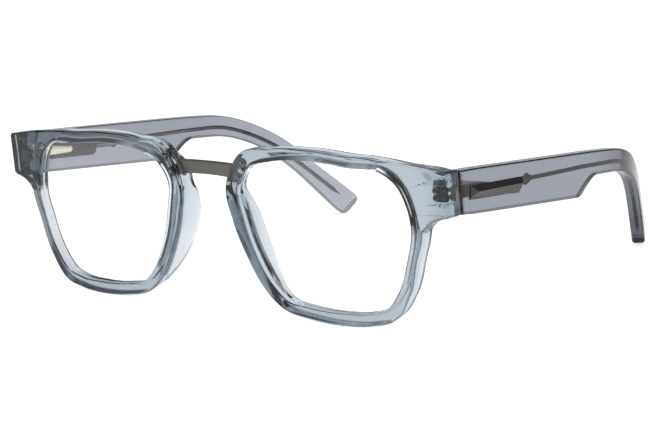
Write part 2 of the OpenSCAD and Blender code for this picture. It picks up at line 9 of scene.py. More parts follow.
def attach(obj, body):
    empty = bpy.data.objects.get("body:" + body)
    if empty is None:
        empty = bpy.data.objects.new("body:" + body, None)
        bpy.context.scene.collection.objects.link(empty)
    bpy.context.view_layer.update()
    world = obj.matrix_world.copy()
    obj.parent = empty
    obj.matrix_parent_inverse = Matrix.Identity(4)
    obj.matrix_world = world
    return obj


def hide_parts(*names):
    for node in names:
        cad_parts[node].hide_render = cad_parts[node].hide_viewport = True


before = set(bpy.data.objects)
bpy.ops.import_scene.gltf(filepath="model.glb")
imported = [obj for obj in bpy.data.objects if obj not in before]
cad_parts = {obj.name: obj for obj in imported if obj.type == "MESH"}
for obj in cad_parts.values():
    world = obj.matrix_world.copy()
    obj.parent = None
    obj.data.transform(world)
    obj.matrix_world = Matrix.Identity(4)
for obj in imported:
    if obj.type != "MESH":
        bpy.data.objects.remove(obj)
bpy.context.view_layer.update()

# %% [markdown]
# The CAD source draws the glasses as worn, in millimetres: x to the wearer's left, y to the back,
# z up, with zero at the top of the endpieces. It then tips them by a small angle, so that they
# stand on the rims and the tips. Every rule below is written in the first frame, because its
# numbers are the ones a maker uses, and one function carries points over to the model's frame.
# %% From the drawing to the model
STAND_TILT = math.radians(6.07679)
STAND_MID, STAND_LOW = 70.5768, -42.2451


def to_model(points, turn_only=False):
    """Points of the drawing, in mm, as places in the model, in metres. Directions only turn."""
    p = np.array(points, float)
    c, s = math.cos(STAND_TILT), math.sin(STAND_TILT)
    turned = np.stack([p[..., 0], p[..., 1] * c - p[..., 2] * s, p[..., 1] * s + p[..., 2] * c], -1)
    return turned if turn_only else (turned - (0, STAND_MID, STAND_LOW)) / 1000


print("the drawing's zero, in m:", to_model((0, 0, 0)).round(4).tolist())

# %% [markdown]
# A photograph fixes a camera completely once enough points are matched. The camera stands to the
# wearer's left, about 0.67 m away, and looks down by some 15 degrees. A long lens of 140 mm keeps
# the two rims almost the same size. The camera is set before anything else, so that each piece
# can be judged from the right place as soon as it is made.
# %% Camera
CAMERA_AZIMUTH, CAMERA_HEIGHT, CAMERA_ROLL = (math.radians(a) for a in (37.1045, 15.2506, -5.1916))
CAMERA_PLACE = (418.5713, -498.2304, 158.8883)
FOCAL_PIXELS, PHOTO_WIDTH, SENSOR_WIDTH = 2584.234, 664, 36


def add_object(name, data):
    """Puts an object with this data in the scene."""
    made = bpy.data.objects.new(name, data)
    bpy.context.scene.collection.objects.link(made)
    return made


sa, ca = math.sin(CAMERA_AZIMUTH), math.cos(CAMERA_AZIMUTH)
se, ce = math.sin(CAMERA_HEIGHT), math.cos(CAMERA_HEIGHT)
back = np.array([sa * ce, -ca * ce, se])
right = np.array([ca, sa, 0.0])
up = np.cross(back, right)
sr, cr = math.sin(CAMERA_ROLL), math.cos(CAMERA_ROLL)
axes = to_model([cr * right + sr * up, cr * up - sr * right, back], turn_only=True)

camera = add_object("camera", bpy.data.cameras.new("camera"))
camera.data.sensor_width = SENSOR_WIDTH
camera.data.lens = SENSOR_WIDTH * FOCAL_PIXELS / PHOTO_WIDTH
camera.data.clip_start, camera.data.clip_end = 0.01, 20
turned = Matrix(axes.T.tolist()).to_4x4()
camera.matrix_world = Matrix.Translation(Vector(to_model(CAMERA_PLACE))) @ turned
bpy.context.scene.camera = camera
print("lens, mm:", round(camera.data.lens, 1), "place:", [round(v, 4) for v in camera.location])

# %% [markdown]
# Shaders are small networks of nodes. Wiring them by hand takes many lines, so one class stands
# for an output of a node: plus, minus and times on it add Math nodes, and add() adds any other
# kind. A finish then reads like the formula that it is.
# %% Shader maths


def grey(value):
    return (value, value, value, 1)


class Signal:
    """An output of a shader node. Maths on it adds Math nodes, and add() adds any other node."""

    def __init__(self, tree, socket=None):
        self.tree, self.socket = tree, socket

    def add(self, kind, settings=None, inputs=None, out=0):
        node = self.tree.nodes.new(kind)
        for name, value in (settings or {}).items():
            setattr(node, name, value)
        for name, value in (inputs or {}).items():
            if isinstance(value, Signal):
                self.tree.links.new(value.socket, node.inputs[name])
            elif value is not None:
                node.inputs[name].default_value = value
        return Signal(self.tree, node.outputs[out] if len(node.outputs) else None)

    def also(self, name):
        """Another output of the same node."""
        return Signal(self.tree, self.socket.node.outputs[name])

    def maths(self, operation, first, second=0.0):
        return self.add("ShaderNodeMath", {"operation": operation}, {0: first, 1: second})

    def __add__(self, other):
        return self.maths("ADD", self, other)

    __radd__ = __add__

    def __mul__(self, other):
        return self.maths("MULTIPLY", self, other)

    __rmul__ = __mul__

    def largest(self, other):
        return self.maths("MAXIMUM", self, other)

    def dot(self, way):
        """How far this vector reaches along a direction."""
        return self.add("ShaderNodeVectorMath", {"operation": "DOT_PRODUCT"}, {0: self, 1: way}, out=1)

    def blend(self, low, high):
        """Mixes two colours by this value."""
        return self.add("ShaderNodeMix", {"data_type": "RGBA"}, {0: self, 6: low, 7: high}, out=2)

    def tinted(self, other):
        """This colour times another."""
        return self.add("ShaderNodeMix", {"data_type": "RGBA", "blend_type": "MULTIPLY"},
                        {0: 1.0, 6: self, 7: other}, out=2)

    def noise(self, scale, detail):
        return self.add("ShaderNodeTexNoise", inputs={"Vector": self, "Scale": scale, "Detail": detail})

    def steps(self, stops):
        """A ramp over this value, from places and their greys or colours."""
        ramp = self.add("ShaderNodeValToRGB", inputs={"Fac": self})
        elements = ramp.socket.node.color_ramp.elements
        while len(elements) < len(stops):
            elements.new(0.5)
        for stop, (place, shade) in zip(elements, stops):
            stop.position = place
            stop.color = (*shade, 1) if isinstance(shade, tuple) else grey(shade)
        return ramp


def new_finish(name):
    """An empty material, and a Signal to build it with."""
    finish = bpy.data.materials.new(name)
    finish.use_nodes = True
    finish.node_tree.nodes.clear()
    return finish, Signal(finish.node_tree)


def close_finish(finish, f, surface, volume=None):
    f.add("ShaderNodeOutputMaterial", inputs={"Surface": surface, "Volume": volume})
    print("finish:", finish.name, "nodes:", len(finish.node_tree.nodes))
    return finish


# %% [markdown]
# Clear plastic is mostly a picture of the room round it. So the room is the first finish to set:
# white in every direction that the camera sees straight on. Rays that pass through the acetate
# or mirror on it meet two darker zones, one high up and one ahead to the wearer's left, which
# draw the slate lines along the edges. Mirrored rays see the whole room a little dimmer. Diffuse
# rays see a plain, dimmer light, so that nothing burns out.
# %% Room
ROOM_LIGHT, OUTSIDE = 0.55, 0.65
DARK_HIGH, DARK_AHEAD = (0.075, 0.09, 0.11), (0.13, 0.155, 0.185)
AHEAD = (0.6, -0.8, 0.0)

world = bpy.data.worlds.new("studio")
bpy.context.scene.world = world
world.use_nodes = True
world.node_tree.nodes.clear()
room = Signal(world.node_tree)
seen = room.add("ShaderNodeLightPath", out="Is Camera Ray")
glossy = seen.also("Is Glossy Ray")
sharp_ray = glossy.largest(seen.also("Is Transmission Ray"))
aim = room.add("ShaderNodeTexCoord", out="Generated")
height = room.add("ShaderNodeSeparateXYZ", inputs={0: aim}, out="Z")
high_zone = height.steps([(0.0, 1.0), (0.28, 1.0), (0.42, DARK_HIGH), (0.74, DARK_HIGH), (0.86, 1.0)])
ahead_zone = aim.dot(AHEAD).steps([(0.0, 1.0), (0.22, 1.0), (0.5, DARK_AHEAD), (1.0, DARK_AHEAD)])
zones = high_zone.tinted(ahead_zone)
zones = glossy.blend(zones, zones.tinted(grey(OUTSIDE)))
shown = seen.blend(sharp_ray.blend(grey(ROOM_LIGHT), zones), (1, 1, 1, 1))
light = room.add("ShaderNodeBackground", inputs={"Color": shown, "Strength": 1.0})
room.add("ShaderNodeOutputWorld", inputs={"Surface": light})
print("room nodes:", len(world.node_tree.nodes))

# %% [markdown]
# The floor is white paper. It glows by itself for the camera, and more weakly for mirrored rays
# and for rays that come through the acetate, so that the glasses show a white ground and the
# paper still holds their shadow. Far in front and far aside the paper glows less, because a real
# sheet ends there, and that is what darkens the acetate's lower edges.
# %% Floor
FLOOR_SHADE, FLOOR_GLOW, FLOOR_MIRROR, FLOOR_SIDE = 0.8, 0.6, 0.35, 0.1
FLOOR_HALF = 4


def paper_end(start, end):
    """A ramp that falls to the far paper's glow between two distances, in metres."""
    return [(0.0, 1.0), (start, 1.0), (end, FLOOR_SIDE), (1.0, FLOOR_SIDE)]


paper_finish, f = new_finish("floor_paper")
seen = f.add("ShaderNodeLightPath", out="Is Camera Ray")
spot = f.add("ShaderNodeTexCoord", out="Object")
near = spot.dot((0.8, 0.6, 0.0)).steps(paper_end(0.085, 0.11))
near = near * spot.dot((0.0, -1.0, 0.0)).steps(paper_end(0.08, 0.10))
glow = seen.largest(seen.also("Is Glossy Ray") * FLOOR_MIRROR)
glow = glow.largest(seen.also("Is Transmission Ray") * near) * FLOOR_GLOW
paper = f.add("ShaderNodeBsdfDiffuse", inputs={"Color": grey(FLOOR_SHADE)})
glow = f.add("ShaderNodeEmission", inputs={"Color": (1, 1, 1, 1), "Strength": glow})
close_finish(paper_finish, f, f.add("ShaderNodeAddShader", inputs={0: paper, 1: glow}))

floor_mesh = bpy.data.meshes.new("floor")
corners = [(x * FLOOR_HALF, y * FLOOR_HALF, 0) for x, y in ((-1, -1), (1, -1), (1, 1), (-1, 1))]
floor_mesh.from_pydata(corners, [], [(0, 1, 2, 3)])
floor = add_object("floor", floor_mesh)
floor.data.materials.append(paper_finish)

# %% [markdown]
# Two large round lamps stand above and in front. They are weak, since most of the light comes
# from the room. Their size keeps the shadow on the paper soft.
# %% Lamps


def soft_lamp(name, place, aim_at, size, power):
    lamp = add_object(name, bpy.data.lights.new(name, "AREA"))
    lamp.data.shape, lamp.data.size, lamp.data.energy = "DISK", size, power
    lamp.location = place
    lamp.rotation_euler = (Vector(aim_at) - Vector(place)).to_track_quat("-Z", "Y").to_euler()
    print(name, "size, m:", size, "power, W:", power)


soft_lamp("lamp_over", (0.1, -0.1, 0.9), (0, 0, 0), 0.8, 3.0)
soft_lamp("lamp_front", (-0.5, -0.9, 0.7), (0, 0, 0), 0.6, 2.0)

bpy.context.scene.view_settings.view_transform = "Standard"

# %% [markdown]
# Both rims are one milled plate of acetate. Its outline is a smooth closed curve through knots
# round each opening, and the endpiece is drawn out from it by two more curves. A closed curve
# through knots is easy to repeat here exactly as in the CAD source, so the glass solid fills the
# same space, with many more points and true round edges. Each knot also has its own rim width.
# %% The opening's curve
FRONT_W, FRONT_T, FRONT_R = 145.0, 5.2, 410.0
EYE_W, EYE_H, NOSE_GAP, EYE_DROP = 49.5, 39.8, 24.1, 19.2
RIM_TOP, RIM_BROW, RIM_NOSE, RIM_LOW, RIM_SIDE = 2.9, 5.2, 3.4, 3.25, 3.35
RIM_ROUND, RIM_BEVEL = 0.8, 0.45
LUG_FALL, LUG_H, LUG_BACK = 1.7, 12.9, 12.4
EYE_SHAPE = np.array([
    [0.175, -1.015], [0.455, -0.996], [0.65, -0.918], [0.821, -0.66], [0.94, -0.249],
    [1.009, 0.139], [0.975, 0.465], [0.876, 0.728], [0.728, 0.872], [0.315, 0.927], [-0.161, 0.986],
    [-0.576, 0.944], [-0.867, 0.832], [-1.01, 0.582], [-0.968, 0.148], [-0.838, -0.358],
    [-0.682, -0.698], [-0.508, -0.904], [-0.247, -0.978]])
EYE_RIM = [RIM_LOW + 0.15, RIM_LOW, RIM_SIDE + 0.3, RIM_SIDE, RIM_SIDE - 0.2, RIM_SIDE + 0.1,
           RIM_SIDE + 0.7, RIM_SIDE + 0.7, RIM_TOP - 0.1, RIM_TOP + 0.2, RIM_TOP, RIM_TOP + 0.4,
           RIM_BROW - 0.6, RIM_BROW - 0.8, (RIM_NOSE + RIM_BROW) / 2 - 0.3, RIM_NOSE,
           RIM_NOSE - 0.1, RIM_LOW - 0.1, RIM_LOW]
EYE_X = (NOSE_GAP + EYE_W) / 2
EYE_KNOTS = EYE_SHAPE * (EYE_W / 2, EYE_H / 2) + (EYE_X, -EYE_DROP)
KNOTS = len(EYE_KNOTS)


def smooth(u):
    c = min(max(u, 0.0), 1.0)
    return c * c * (3 - 2 * c)


def mix(a, b, u):
    return a + (b - a) * u


def unit(v):
    return v / np.linalg.norm(v)


def knot_slope(i):
    a, b, c = EYE_KNOTS[(i - 1) % KNOTS], EYE_KNOTS[i % KNOTS], EYE_KNOTS[(i + 1) % KNOTS]
    d, e = np.linalg.norm(b - a), np.linalg.norm(c - b)
    return ((b - a) / d * e + (c - b) / e * d) / (d + e)


def eye_at(t):
    """The opening's edge. t counts the knots."""
    i = math.floor(t)
    f, p, q = t - i, EYE_KNOTS[i % KNOTS], EYE_KNOTS[(i + 1) % KNOTS]
    d = np.linalg.norm(q - p)
    m, n = knot_slope(i) * d, knot_slope(i + 1) * d
    return ((2 * f**3 - 3 * f**2 + 1) * p + (f**3 - 2 * f**2 + f) * m
            + (3 * f**2 - 2 * f**3) * q + (f**3 - f**2) * n)


def eye_dir(t):
    return unit(eye_at(t + 0.01) - eye_at(t - 0.01))


def eye_out(t):
    v = eye_dir(t)
    return np.array([v[1], -v[0]])


def rim_width(t):
    i = math.floor(t)
    return mix(EYE_RIM[i % KNOTS], EYE_RIM[(i + 1) % KNOTS], smooth(t - i))


def rim_at(t):
    return eye_at(t) + eye_out(t) * rim_width(t)


edge = np.array([eye_at(KNOTS * i / 400) for i in range(401)])
print("way round an opening, mm:", round(float(np.linalg.norm(np.diff(edge, axis=0), axis=1).sum()), 1))

# %% [markdown]
# The endpiece is the corner that carries the hinge. In front it belongs to the same plate, and
# behind it the plate thickens to meet the temple. Its outline leaves the rim's outer edge in two
# easy curves and turns round two tight corners. Its walls fall a little to the back, as the
# temple does, so that the two meet flush.
# %% The endpiece's outline
LUG_X, LUG_IN, LUG_FOOT = FRONT_W / 2, FRONT_W / 2 - 11, 1.5 - EYE_DROP
LUG_LOW_T, LUG_HIGH_T, CORNER_R = 4.85, 8.34, 0.9
LUG_LOW, LUG_HIGH = np.array([LUG_X, -LUG_H]), np.array([LUG_X, -LUG_FALL])
LUG_LOW_DIR, LUG_HIGH_DIR = np.array([0.85, 0.53]), np.array([-0.985, 0.17])
LUG_LOW_PULLS, LUG_HIGH_PULLS = (4.1, 1.2), (6.7, 6.4)
# the lean of the walls, the depth at which it is nothing, and where it grows in from
LUG_LEAN, LUG_PIVOT, LEAN_FROM, LEAN_OVER = 0.12, 5.9, 20, 12
# where the thickening starts past LUG_IN, and over how many mm: inside, at the outer edge, upwards
LIFT_FROM, LIFT_OVER = 2.5, 5
EDGE_FROM, EDGE_OVER = -0.5, 8.5
FOOT_OVER = 5


def bow(x):
    """How far the front's bow lies behind its middle."""
    return FRONT_R - math.sqrt(FRONT_R**2 - x * x)


def lug_lift(p, share=0.0):
    """How far a place has grown from a rim's back to the joint. The outer edge grows sooner."""
    inside = smooth((p[0] - LUG_IN - LIFT_FROM) / LIFT_OVER)
    at_edge = smooth((p[0] - LUG_IN - EDGE_FROM) / EDGE_OVER)
    return mix(inside, at_edge, share) * smooth((p[1] - LUG_FOOT) / FOOT_OVER)


def back_at(p, share=0.0):
    return mix(bow(p[0]) + FRONT_T, LUG_BACK, lug_lift(p, share))


def lug_lean(x, depth):
    """The endpiece's walls fall to the back as the temple does, level with it at the joint."""
    return LUG_LEAN * smooth((x - LUG_X + LEAN_FROM) / LEAN_OVER) * (LUG_PIVOT - depth)


def bezier(a, b, c, d, u):
    return (1 - u)**3 * a + 3 * u * (1 - u)**2 * b + 3 * u * u * (1 - u) * c + u**3 * d


def corner(a, b, c, u):
    return (1 - u)**2 * a + 2 * u * (1 - u) * b + u * u * c


def lug_low_curve(u):
    first, last = LUG_LOW_PULLS
    return bezier(rim_at(LUG_LOW_T), rim_at(LUG_LOW_T) + eye_dir(LUG_LOW_T) * first,
                  LUG_LOW - LUG_LOW_DIR * last, LUG_LOW - LUG_LOW_DIR * CORNER_R, u)


def lug_high_curve(u):
    first, last = LUG_HIGH_PULLS
    return bezier(LUG_HIGH + LUG_HIGH_DIR * CORNER_R, LUG_HIGH + LUG_HIGH_DIR * first,
                  rim_at(LUG_HIGH_T) - eye_dir(LUG_HIGH_T) * last, rim_at(LUG_HIGH_T), u)


print("the front's bow at the joint, mm:", round(bow(LUG_X), 2))

# %% Stations round the rim
LOW_CORNER, HIGH_CORNER = (5.7, 5.86), (6.6, 6.76)


def rim_stations(low=26, turn=5, side=7, high=30, loop=170):
    """Places round the opening, each with its point on the outer edge."""
    made = [(mix(LUG_LOW_T, LOW_CORNER[0], i / low), lug_low_curve(i / low)) for i in range(low + 1)]
    a, c = LUG_LOW - LUG_LOW_DIR * CORNER_R, LUG_LOW + (0, CORNER_R)
    made += [(mix(*LOW_CORNER, i / turn), corner(a, LUG_LOW, c, i / turn)) for i in range(1, turn)]
    made += [(mix(LOW_CORNER[1], HIGH_CORNER[0], i / side),
              np.array([LUG_X, mix(CORNER_R - LUG_H, -LUG_FALL - CORNER_R, i / side)]))
             for i in range(side + 1)]
    a, c = LUG_HIGH - (0, CORNER_R), LUG_HIGH + LUG_HIGH_DIR * CORNER_R
    made += [(mix(*HIGH_CORNER, i / turn), corner(a, LUG_HIGH, c, i / turn)) for i in range(1, turn)]
    made += [(mix(HIGH_CORNER[1], LUG_HIGH_T, i / high), lug_high_curve(i / high)) for i in range(high + 1)]
    span = KNOTS - LUG_HIGH_T + LUG_LOW_T
    made += [(t, rim_at(t)) for t in (LUG_HIGH_T + span * i / loop for i in range(1, loop))]
    return made


STATIONS = rim_stations()
print("stations round a rim:", len(STATIONS))

# %% [markdown]
# The rim's section is a rounded bar with a V groove for the lens. Beside the nose the back of the
# bar rises into the pad. On the real frame the pads are cemented on and polished until no seam
# is left, so here the pad is not a second piece of glass, which would show a false inner
# surface: the section itself rises, by the same rule as the CAD pad.
# %% Lines of a section
X, Y = np.array([1.0, 0]), np.array([0, 1.0])
# flat stretches keep a pair of points this close to each rounded edge, which holds them flat
HOLD = 0.12


def arc(centre, start, end, steps):
    """Points of a quarter turn round a centre, from one offset to another."""
    return [centre + start * math.cos(a) + end * math.sin(a)
            for a in np.linspace(0, math.pi / 2, steps + 1)]


def rounded(points, times):
    """Cuts the corners of an open line, which turns it into a smooth curve."""
    p = np.array(points, float)
    for _ in range(times):
        a, b = p[:-1], p[1:]
        p = np.concatenate([p[:1], np.stack([mix(a, b, 0.25), mix(a, b, 0.75)], 1).reshape(-1, 2), p[-1:]])
    return p


def resample(points, count):
    """The same line through points at equal distances."""
    p = np.array(points)
    along = np.concatenate([[0], np.cumsum(np.linalg.norm(np.diff(p, axis=0), axis=1))])
    at = np.linspace(0, along[-1], count)
    return np.stack([np.interp(at, along, p[:, k]) for k in range(2)], -1)


print("a corner of 3 points, rounded twice:", rounded([(0, 0), (1, 0), (1, 1)], 2).round(2).tolist())

# %% The back's section and the pad
PAD_H, PAD_SPLAY, PAD_T0, PAD_T1 = 5.6, -0.14, 13.1, 17.2
SWELL_H, SWELL_RISE, SWELL_FALL = 1.3, (11.9, 1.0), (13.4, 1.6)


def pad_height(t):
    """The pad, and the low swell over the brow from which it grows."""
    u = min(max((t - PAD_T0) / (PAD_T1 - PAD_T0), 0.0), 1.0)
    rise, fall = (smooth((t - start) / over) for start, over in (SWELL_RISE, SWELL_FALL))
    pad = PAD_H * math.sin(math.pi * u**0.62)**1.3 if 0 < u < 1 else 0.0
    return max(SWELL_H * rise * (1 - fall), pad)


def back_profile(w, h):
    """Offsets from the opening, and heights above the back, from the outer wall to the opening."""
    r, b = RIM_ROUND, RIM_BEVEL
    flat = [np.array([x, 0.0]) for x in np.linspace(w - r - HOLD, b + HOLD, 10)]
    plain = arc(np.array([w - r, -r]), X * r, Y * r, 5) + flat + arc(np.array([b, -b]), Y * b, -X * b, 4)
    if h <= 0:
        return np.array(plain)
    lean, e = PAD_SPLAY * h, min(0.9, h * 0.5)
    crest = w - lean - 1.3 * e
    raised = [(w, -r), (w - r * 0.1, 0), (w - lean * 0.5, h * 0.45), (w - lean - e * 0.3, h - e * 0.7),
              (crest, h), (min(0.9 + e + h * 0.06, crest - 0.3), h), (0.6 + e * 0.2 + h * 0.16, h - e * 0.5),
              (0.4 + h * 0.1, h * 0.5), (b, 0), (0, -b)]
    return mix(np.array(plain), resample(rounded(raised, 3), len(plain)), smooth(h / 1.2))


print("pad height, mm, at knots 13 to 17:", [round(pad_height(t), 2) for t in range(13, 18)])

# %% Rim section
GROOVE_Y, GROOVE_HALF, GROOVE_D = FRONT_T / 2 - 0.1, 1.05, 0.9
# how much smaller the back is filed at its outer edge and at the opening, and the brow in front
BACK_IN, BACK_OPEN = 0.3, 0.4
BROW_IN, BROW_T, BROW_REACH = 0.6, 12.7, 1.1


def rim_ring(i):
    """The section at a station: groove, front, outer wall, back, and home to the groove."""
    t, o = STATIONS[i]
    v = STATIONS[(i + 1) % len(STATIONS)][1] - STATIONS[i - 1][1]
    m = unit(np.array([v[1], -v[0]]))
    p, n = eye_at(t), eye_out(t)
    r, b = RIM_ROUND, RIM_BEVEL
    face = o - m * (BROW_IN * smooth(1 - abs(t - BROW_T) / BROW_REACH))

    # each point: its place in the front view, its depth, and how much of the endpiece's lean it takes
    ring = [(p, GROOVE_Y + GROOVE_HALF, 0), (p + n * GROOVE_D, GROOVE_Y, 0), (p, GROOVE_Y - GROOVE_HALF, 0)]
    ring += [(p + n * q[0], q[1], 0) for q in arc(np.array([b, b]), -X * b, -Y * b, 4)]
    ring += [(p + n * (b + HOLD), 0, 0), (face - m * (r + HOLD), 0, 1)]
    ring += [(face - m * q[0], q[1], 1) for q in arc(np.array([r, r]), -Y * r, -X * r, 5)]
    ring += [(mix(face, o, 0.4), r + HOLD, 1)]

    # the back is filed a little smaller than the front, except at the joint
    lift, pad = lug_lift(o, 1), pad_height(t)
    o = o - m * BACK_IN * (1 - lift)
    p = p + n * BACK_OPEN * (1 - lift) * (1 - smooth(pad / 2))
    w = np.linalg.norm(o - p)
    ring += [(o, back_at(o, 1) - bow(o[0]) - r - HOLD, 1)]
    for x, y in back_profile(w, pad):
        # near the outer edge the offset is taken square to that edge, near the opening square to it
        share = smooth(min(max((w - x) / w, 0.0), 1.0))
        q = mix(o - m * (w - x), p + n * x, share)
        ring += [(q, back_at(q, 1 - share) - bow(q[0]) + y, 1 - share)]
    ring += [(p, back_at(p) - bow(p[0]) - b - HOLD, 0)]
    return [(q[0], bow(q[0]) + depth, q[1] + lug_lean(q[0], depth) * share) for q, depth, share in ring]


print("points in a section:", len(rim_ring(0)))

# %% [markdown]
# A solid can be made from rings of points, one after another, with a face between each pair of
# neighbours. It is closed at both ends or runs round into itself. The volume's sign tells whether
# the faces look outwards, which glass needs, since light bends by them. The drawing shows the
# wearer's left side, and the right side is its mirror image.
# %% Solids from points
MERGE = 1e-7


def solid_from(name, points, faces, left, sharp, bevel=None, segments=2):
    """A closed mesh from points in mm, faces turned outwards. Only metal gets a bevel."""
    co = to_model(np.array(points, float) * (1 if left else -1, 1, 1)).reshape(-1, 3)
    mesh = bpy.data.meshes.new(name)
    mesh.from_pydata(co.tolist(), [], faces)
    b = bmesh.new()
    b.from_mesh(mesh)
    bmesh.ops.remove_doubles(b, verts=b.verts, dist=MERGE)
    if bevel is not None:
        bmesh.ops.recalc_face_normals(b, faces=b.faces)
    if bevel:
        edges = [e for e in b.edges if e.is_manifold and e.calc_face_angle() > math.radians(24)]
        bmesh.ops.bevel(b, geom=edges, offset=bevel / 1000, offset_type="OFFSET", segments=segments,
                        profile=0.5, affect="EDGES", clamp_overlap=True)
    if b.calc_volume(signed=True) < 0:
        bmesh.ops.reverse_faces(b, faces=b.faces)
    b.to_mesh(mesh)
    b.free()
    mesh.polygons.foreach_set("use_smooth", [True] * len(mesh.polygons))
    mesh.set_sharp_from_angle(angle=math.radians(sharp))
    return add_object(name, mesh)


def ring_solid(name, rings, left, closed=False, sharp=40):
    """A solid whose skin runs through rings of points."""
    n, k = len(rings), len(rings[0])
    faces = [(i * k + j, i * k + (j + 1) % k, ((i + 1) % n) * k + (j + 1) % k, ((i + 1) % n) * k + j)
             for i in range(n if closed else n - 1) for j in range(k)]
    if not closed:
        faces += [tuple(range(k - 1, -1, -1)), tuple((n - 1) * k + j for j in range(k))]
    return solid_from(name, rings, faces, left, sharp)


def finish_piece(piece, finish, body, slot, *nodes):
    """Gives a piece its material and its body, and hides the CAD nodes that it stands for. The slot is not
    used.
    """
    piece.data.materials.clear()
    piece.data.materials.append(finish)
    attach(piece, body)
    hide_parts(*nodes)
    places = np.array([v.co for v in piece.data.vertices])
    print(piece.name, "size, mm:", (np.ptp(places, axis=0) * 1000).round(2).tolist(),
          "faces:", len(piece.data.polygons))


SIDES = (("left", True), ("right", False))
ARMS = {"left": "left_arm", "right": "right_arm"}

# %% [markdown]
# Polished acetate is glass with a colour that comes from its depth, so thick places look darker
# than thin ones. A tint on the surface would be the same everywhere. So the surface stays almost
# clear, and the solid absorbs light on the way through. A lamp's rays can't find their way
# through bent glass, so for shadow rays the surface is plain and see-through.
# %% Acetate
DEPTH_SCALE = 1000.0


def clear_shadow(f, gloss, tint):
    """Glass for the eye, and a tinted pane for the lamps."""
    rays = f.add("ShaderNodeLightPath", out="Is Shadow Ray")
    pane = f.add("ShaderNodeBsdfTransparent", inputs={"Color": (*tint, 1)})
    return f.add("ShaderNodeMixShader", inputs={0: rays, 1: gloss, 2: pane})


def acetate(name, shadow_tint, tint):
    """Clear acetate with a slight waviness. The tint is about what a millimetre lets through."""
    finish, f = new_finish(name)
    place = f.add("ShaderNodeTexCoord", out="Object")
    cloud = place.noise(60.0, 3.0)
    wave = f.add("ShaderNodeBump", inputs={"Height": cloud + place.noise(900.0, 2.0) * 0.15,
                                           "Strength": 0.02, "Distance": 0.0004})
    gloss = f.add("ShaderNodeBsdfPrincipled", inputs={
        "Base Color": cloud.blend((0.97, 0.975, 0.98, 1), (1, 1, 1, 1)),
        "Roughness": cloud * 0.02 + 0.01, "IOR": 1.49, "Transmission Weight": 1.0, "Normal": wave})
    depth = f.add("ShaderNodeVolumeAbsorption", inputs={"Color": (*tint, 1), "Density": DEPTH_SCALE})
    return close_finish(finish, f, clear_shadow(f, gloss, shadow_tint), depth)


front_acetate = acetate("clear_acetate_front", (0.78, 0.82, 0.86), (0.825, 0.849, 0.869))
temple_acetate = acetate("clear_acetate_temple", (0.78, 0.80, 0.84), (0.715, 0.728, 0.76))

# %% Rims
for side, left in SIDES:
    rim = ring_solid(f"rim_{side}_acetate", [rim_ring(i) for i in range(len(STATIONS))], left, closed=True)
    finish_piece(rim, front_acetate, "front", "acetate_front", f"rim_{side}", f"nose_pad_{side}")

# %% [markdown]
# A temple is one bar of acetate with a bent tip. A middle line gives its course in the side view,
# two functions give its height above and below that line, and a last one leads the tip inwards.
# %% Temple's course
TEMPLE_T, TIP_T, SHAFT_L, STEP_L, STEP_RUN = 4.1, 3.9, 78.0, 59.0, 9.9
BUTT_UP, BUTT_DROP, BUTT_DOWN, STEP_DOWN = 4.75, 0.2, 6.8, 7.3
NECK_DOWN, NECK_UP, TIP_HALF = 1.9, 3.1, 3.5
SLOPE, BEND_R, BEND_A, TIP_L, TIP_CURL = 10.1, 50.0, 36.0, 27.0, 3.5
TIP_IN, IN_SOFT, JOINT_GAP = 0.53, 11.0, 0.3
BUTT_Y, LINE_Z = LUG_BACK + JOINT_GAP, -LUG_FALL - BUTT_DROP - BUTT_UP
IN_START = BUTT_Y + SHAFT_L + 9
BEND_END = SHAFT_L + BEND_R * math.radians(BEND_A)
TEMPLE_L = BEND_END + TIP_L


def sin_d(a):
    return math.sin(math.radians(a))


def cos_d(a):
    return math.cos(math.radians(a))


BEND_Y, BEND_Z = BUTT_Y + SHAFT_L * cos_d(SLOPE), LINE_Z - SHAFT_L * sin_d(SLOPE)
TIP_Y = BEND_Y + BEND_R * (sin_d(SLOPE + BEND_A) - sin_d(SLOPE))
TIP_Z = BEND_Z - BEND_R * (cos_d(SLOPE) - cos_d(SLOPE + BEND_A))


def slope_at(s):
    """The middle line's fall, in degrees, at a length s behind the joint."""
    if s < SHAFT_L:
        return SLOPE
    if s < BEND_END:
        return SLOPE + math.degrees((s - SHAFT_L) / BEND_R)
    return SLOPE + BEND_A + TIP_CURL * (s - BEND_END) / TIP_L


def line_at(s):
    if s < SHAFT_L:
        return BUTT_Y + s * cos_d(SLOPE), LINE_Z - s * sin_d(SLOPE)
    if s < BEND_END:
        a = slope_at(s)
        return BEND_Y + BEND_R * (sin_d(a) - sin_d(SLOPE)), BEND_Z - BEND_R * (cos_d(SLOPE) - cos_d(a))
    a = SLOPE + BEND_A + TIP_CURL * (s - BEND_END) / TIP_L / 2
    return TIP_Y + (s - BEND_END) * cos_d(a), TIP_Z - (s - BEND_END) * sin_d(a)


def run_in(y):
    u = y - IN_START
    return TIP_IN * (math.sqrt(u * u + IN_SOFT**2) + u) / 2


def temple_thick(s):
    return mix(TEMPLE_T, TIP_T, smooth(s / TEMPLE_L))


def up_at(s):
    return mix(mix(BUTT_UP, NECK_UP, smooth((s - SHAFT_L + 17) / (SHAFT_L - 10))), TIP_HALF,
               smooth((s - BEND_END) / TIP_L))


def down_sharp(s):
    if s < STEP_L:
        return mix(BUTT_DOWN, STEP_DOWN, s / STEP_L)
    return mix(mix(STEP_DOWN, NECK_DOWN, sin_d(90 * min((s - STEP_L) / STEP_RUN, 1))**1.15), TIP_HALF,
               smooth((s - BEND_END) / TIP_L))


def down_at(s):
    """The lower edge, with its corner at the step eased over a millimetre."""
    return sum(down_sharp(max(s + d, 0)) for d in (-0.8, -0.4, 0, 0.4, 0.8)) / 5


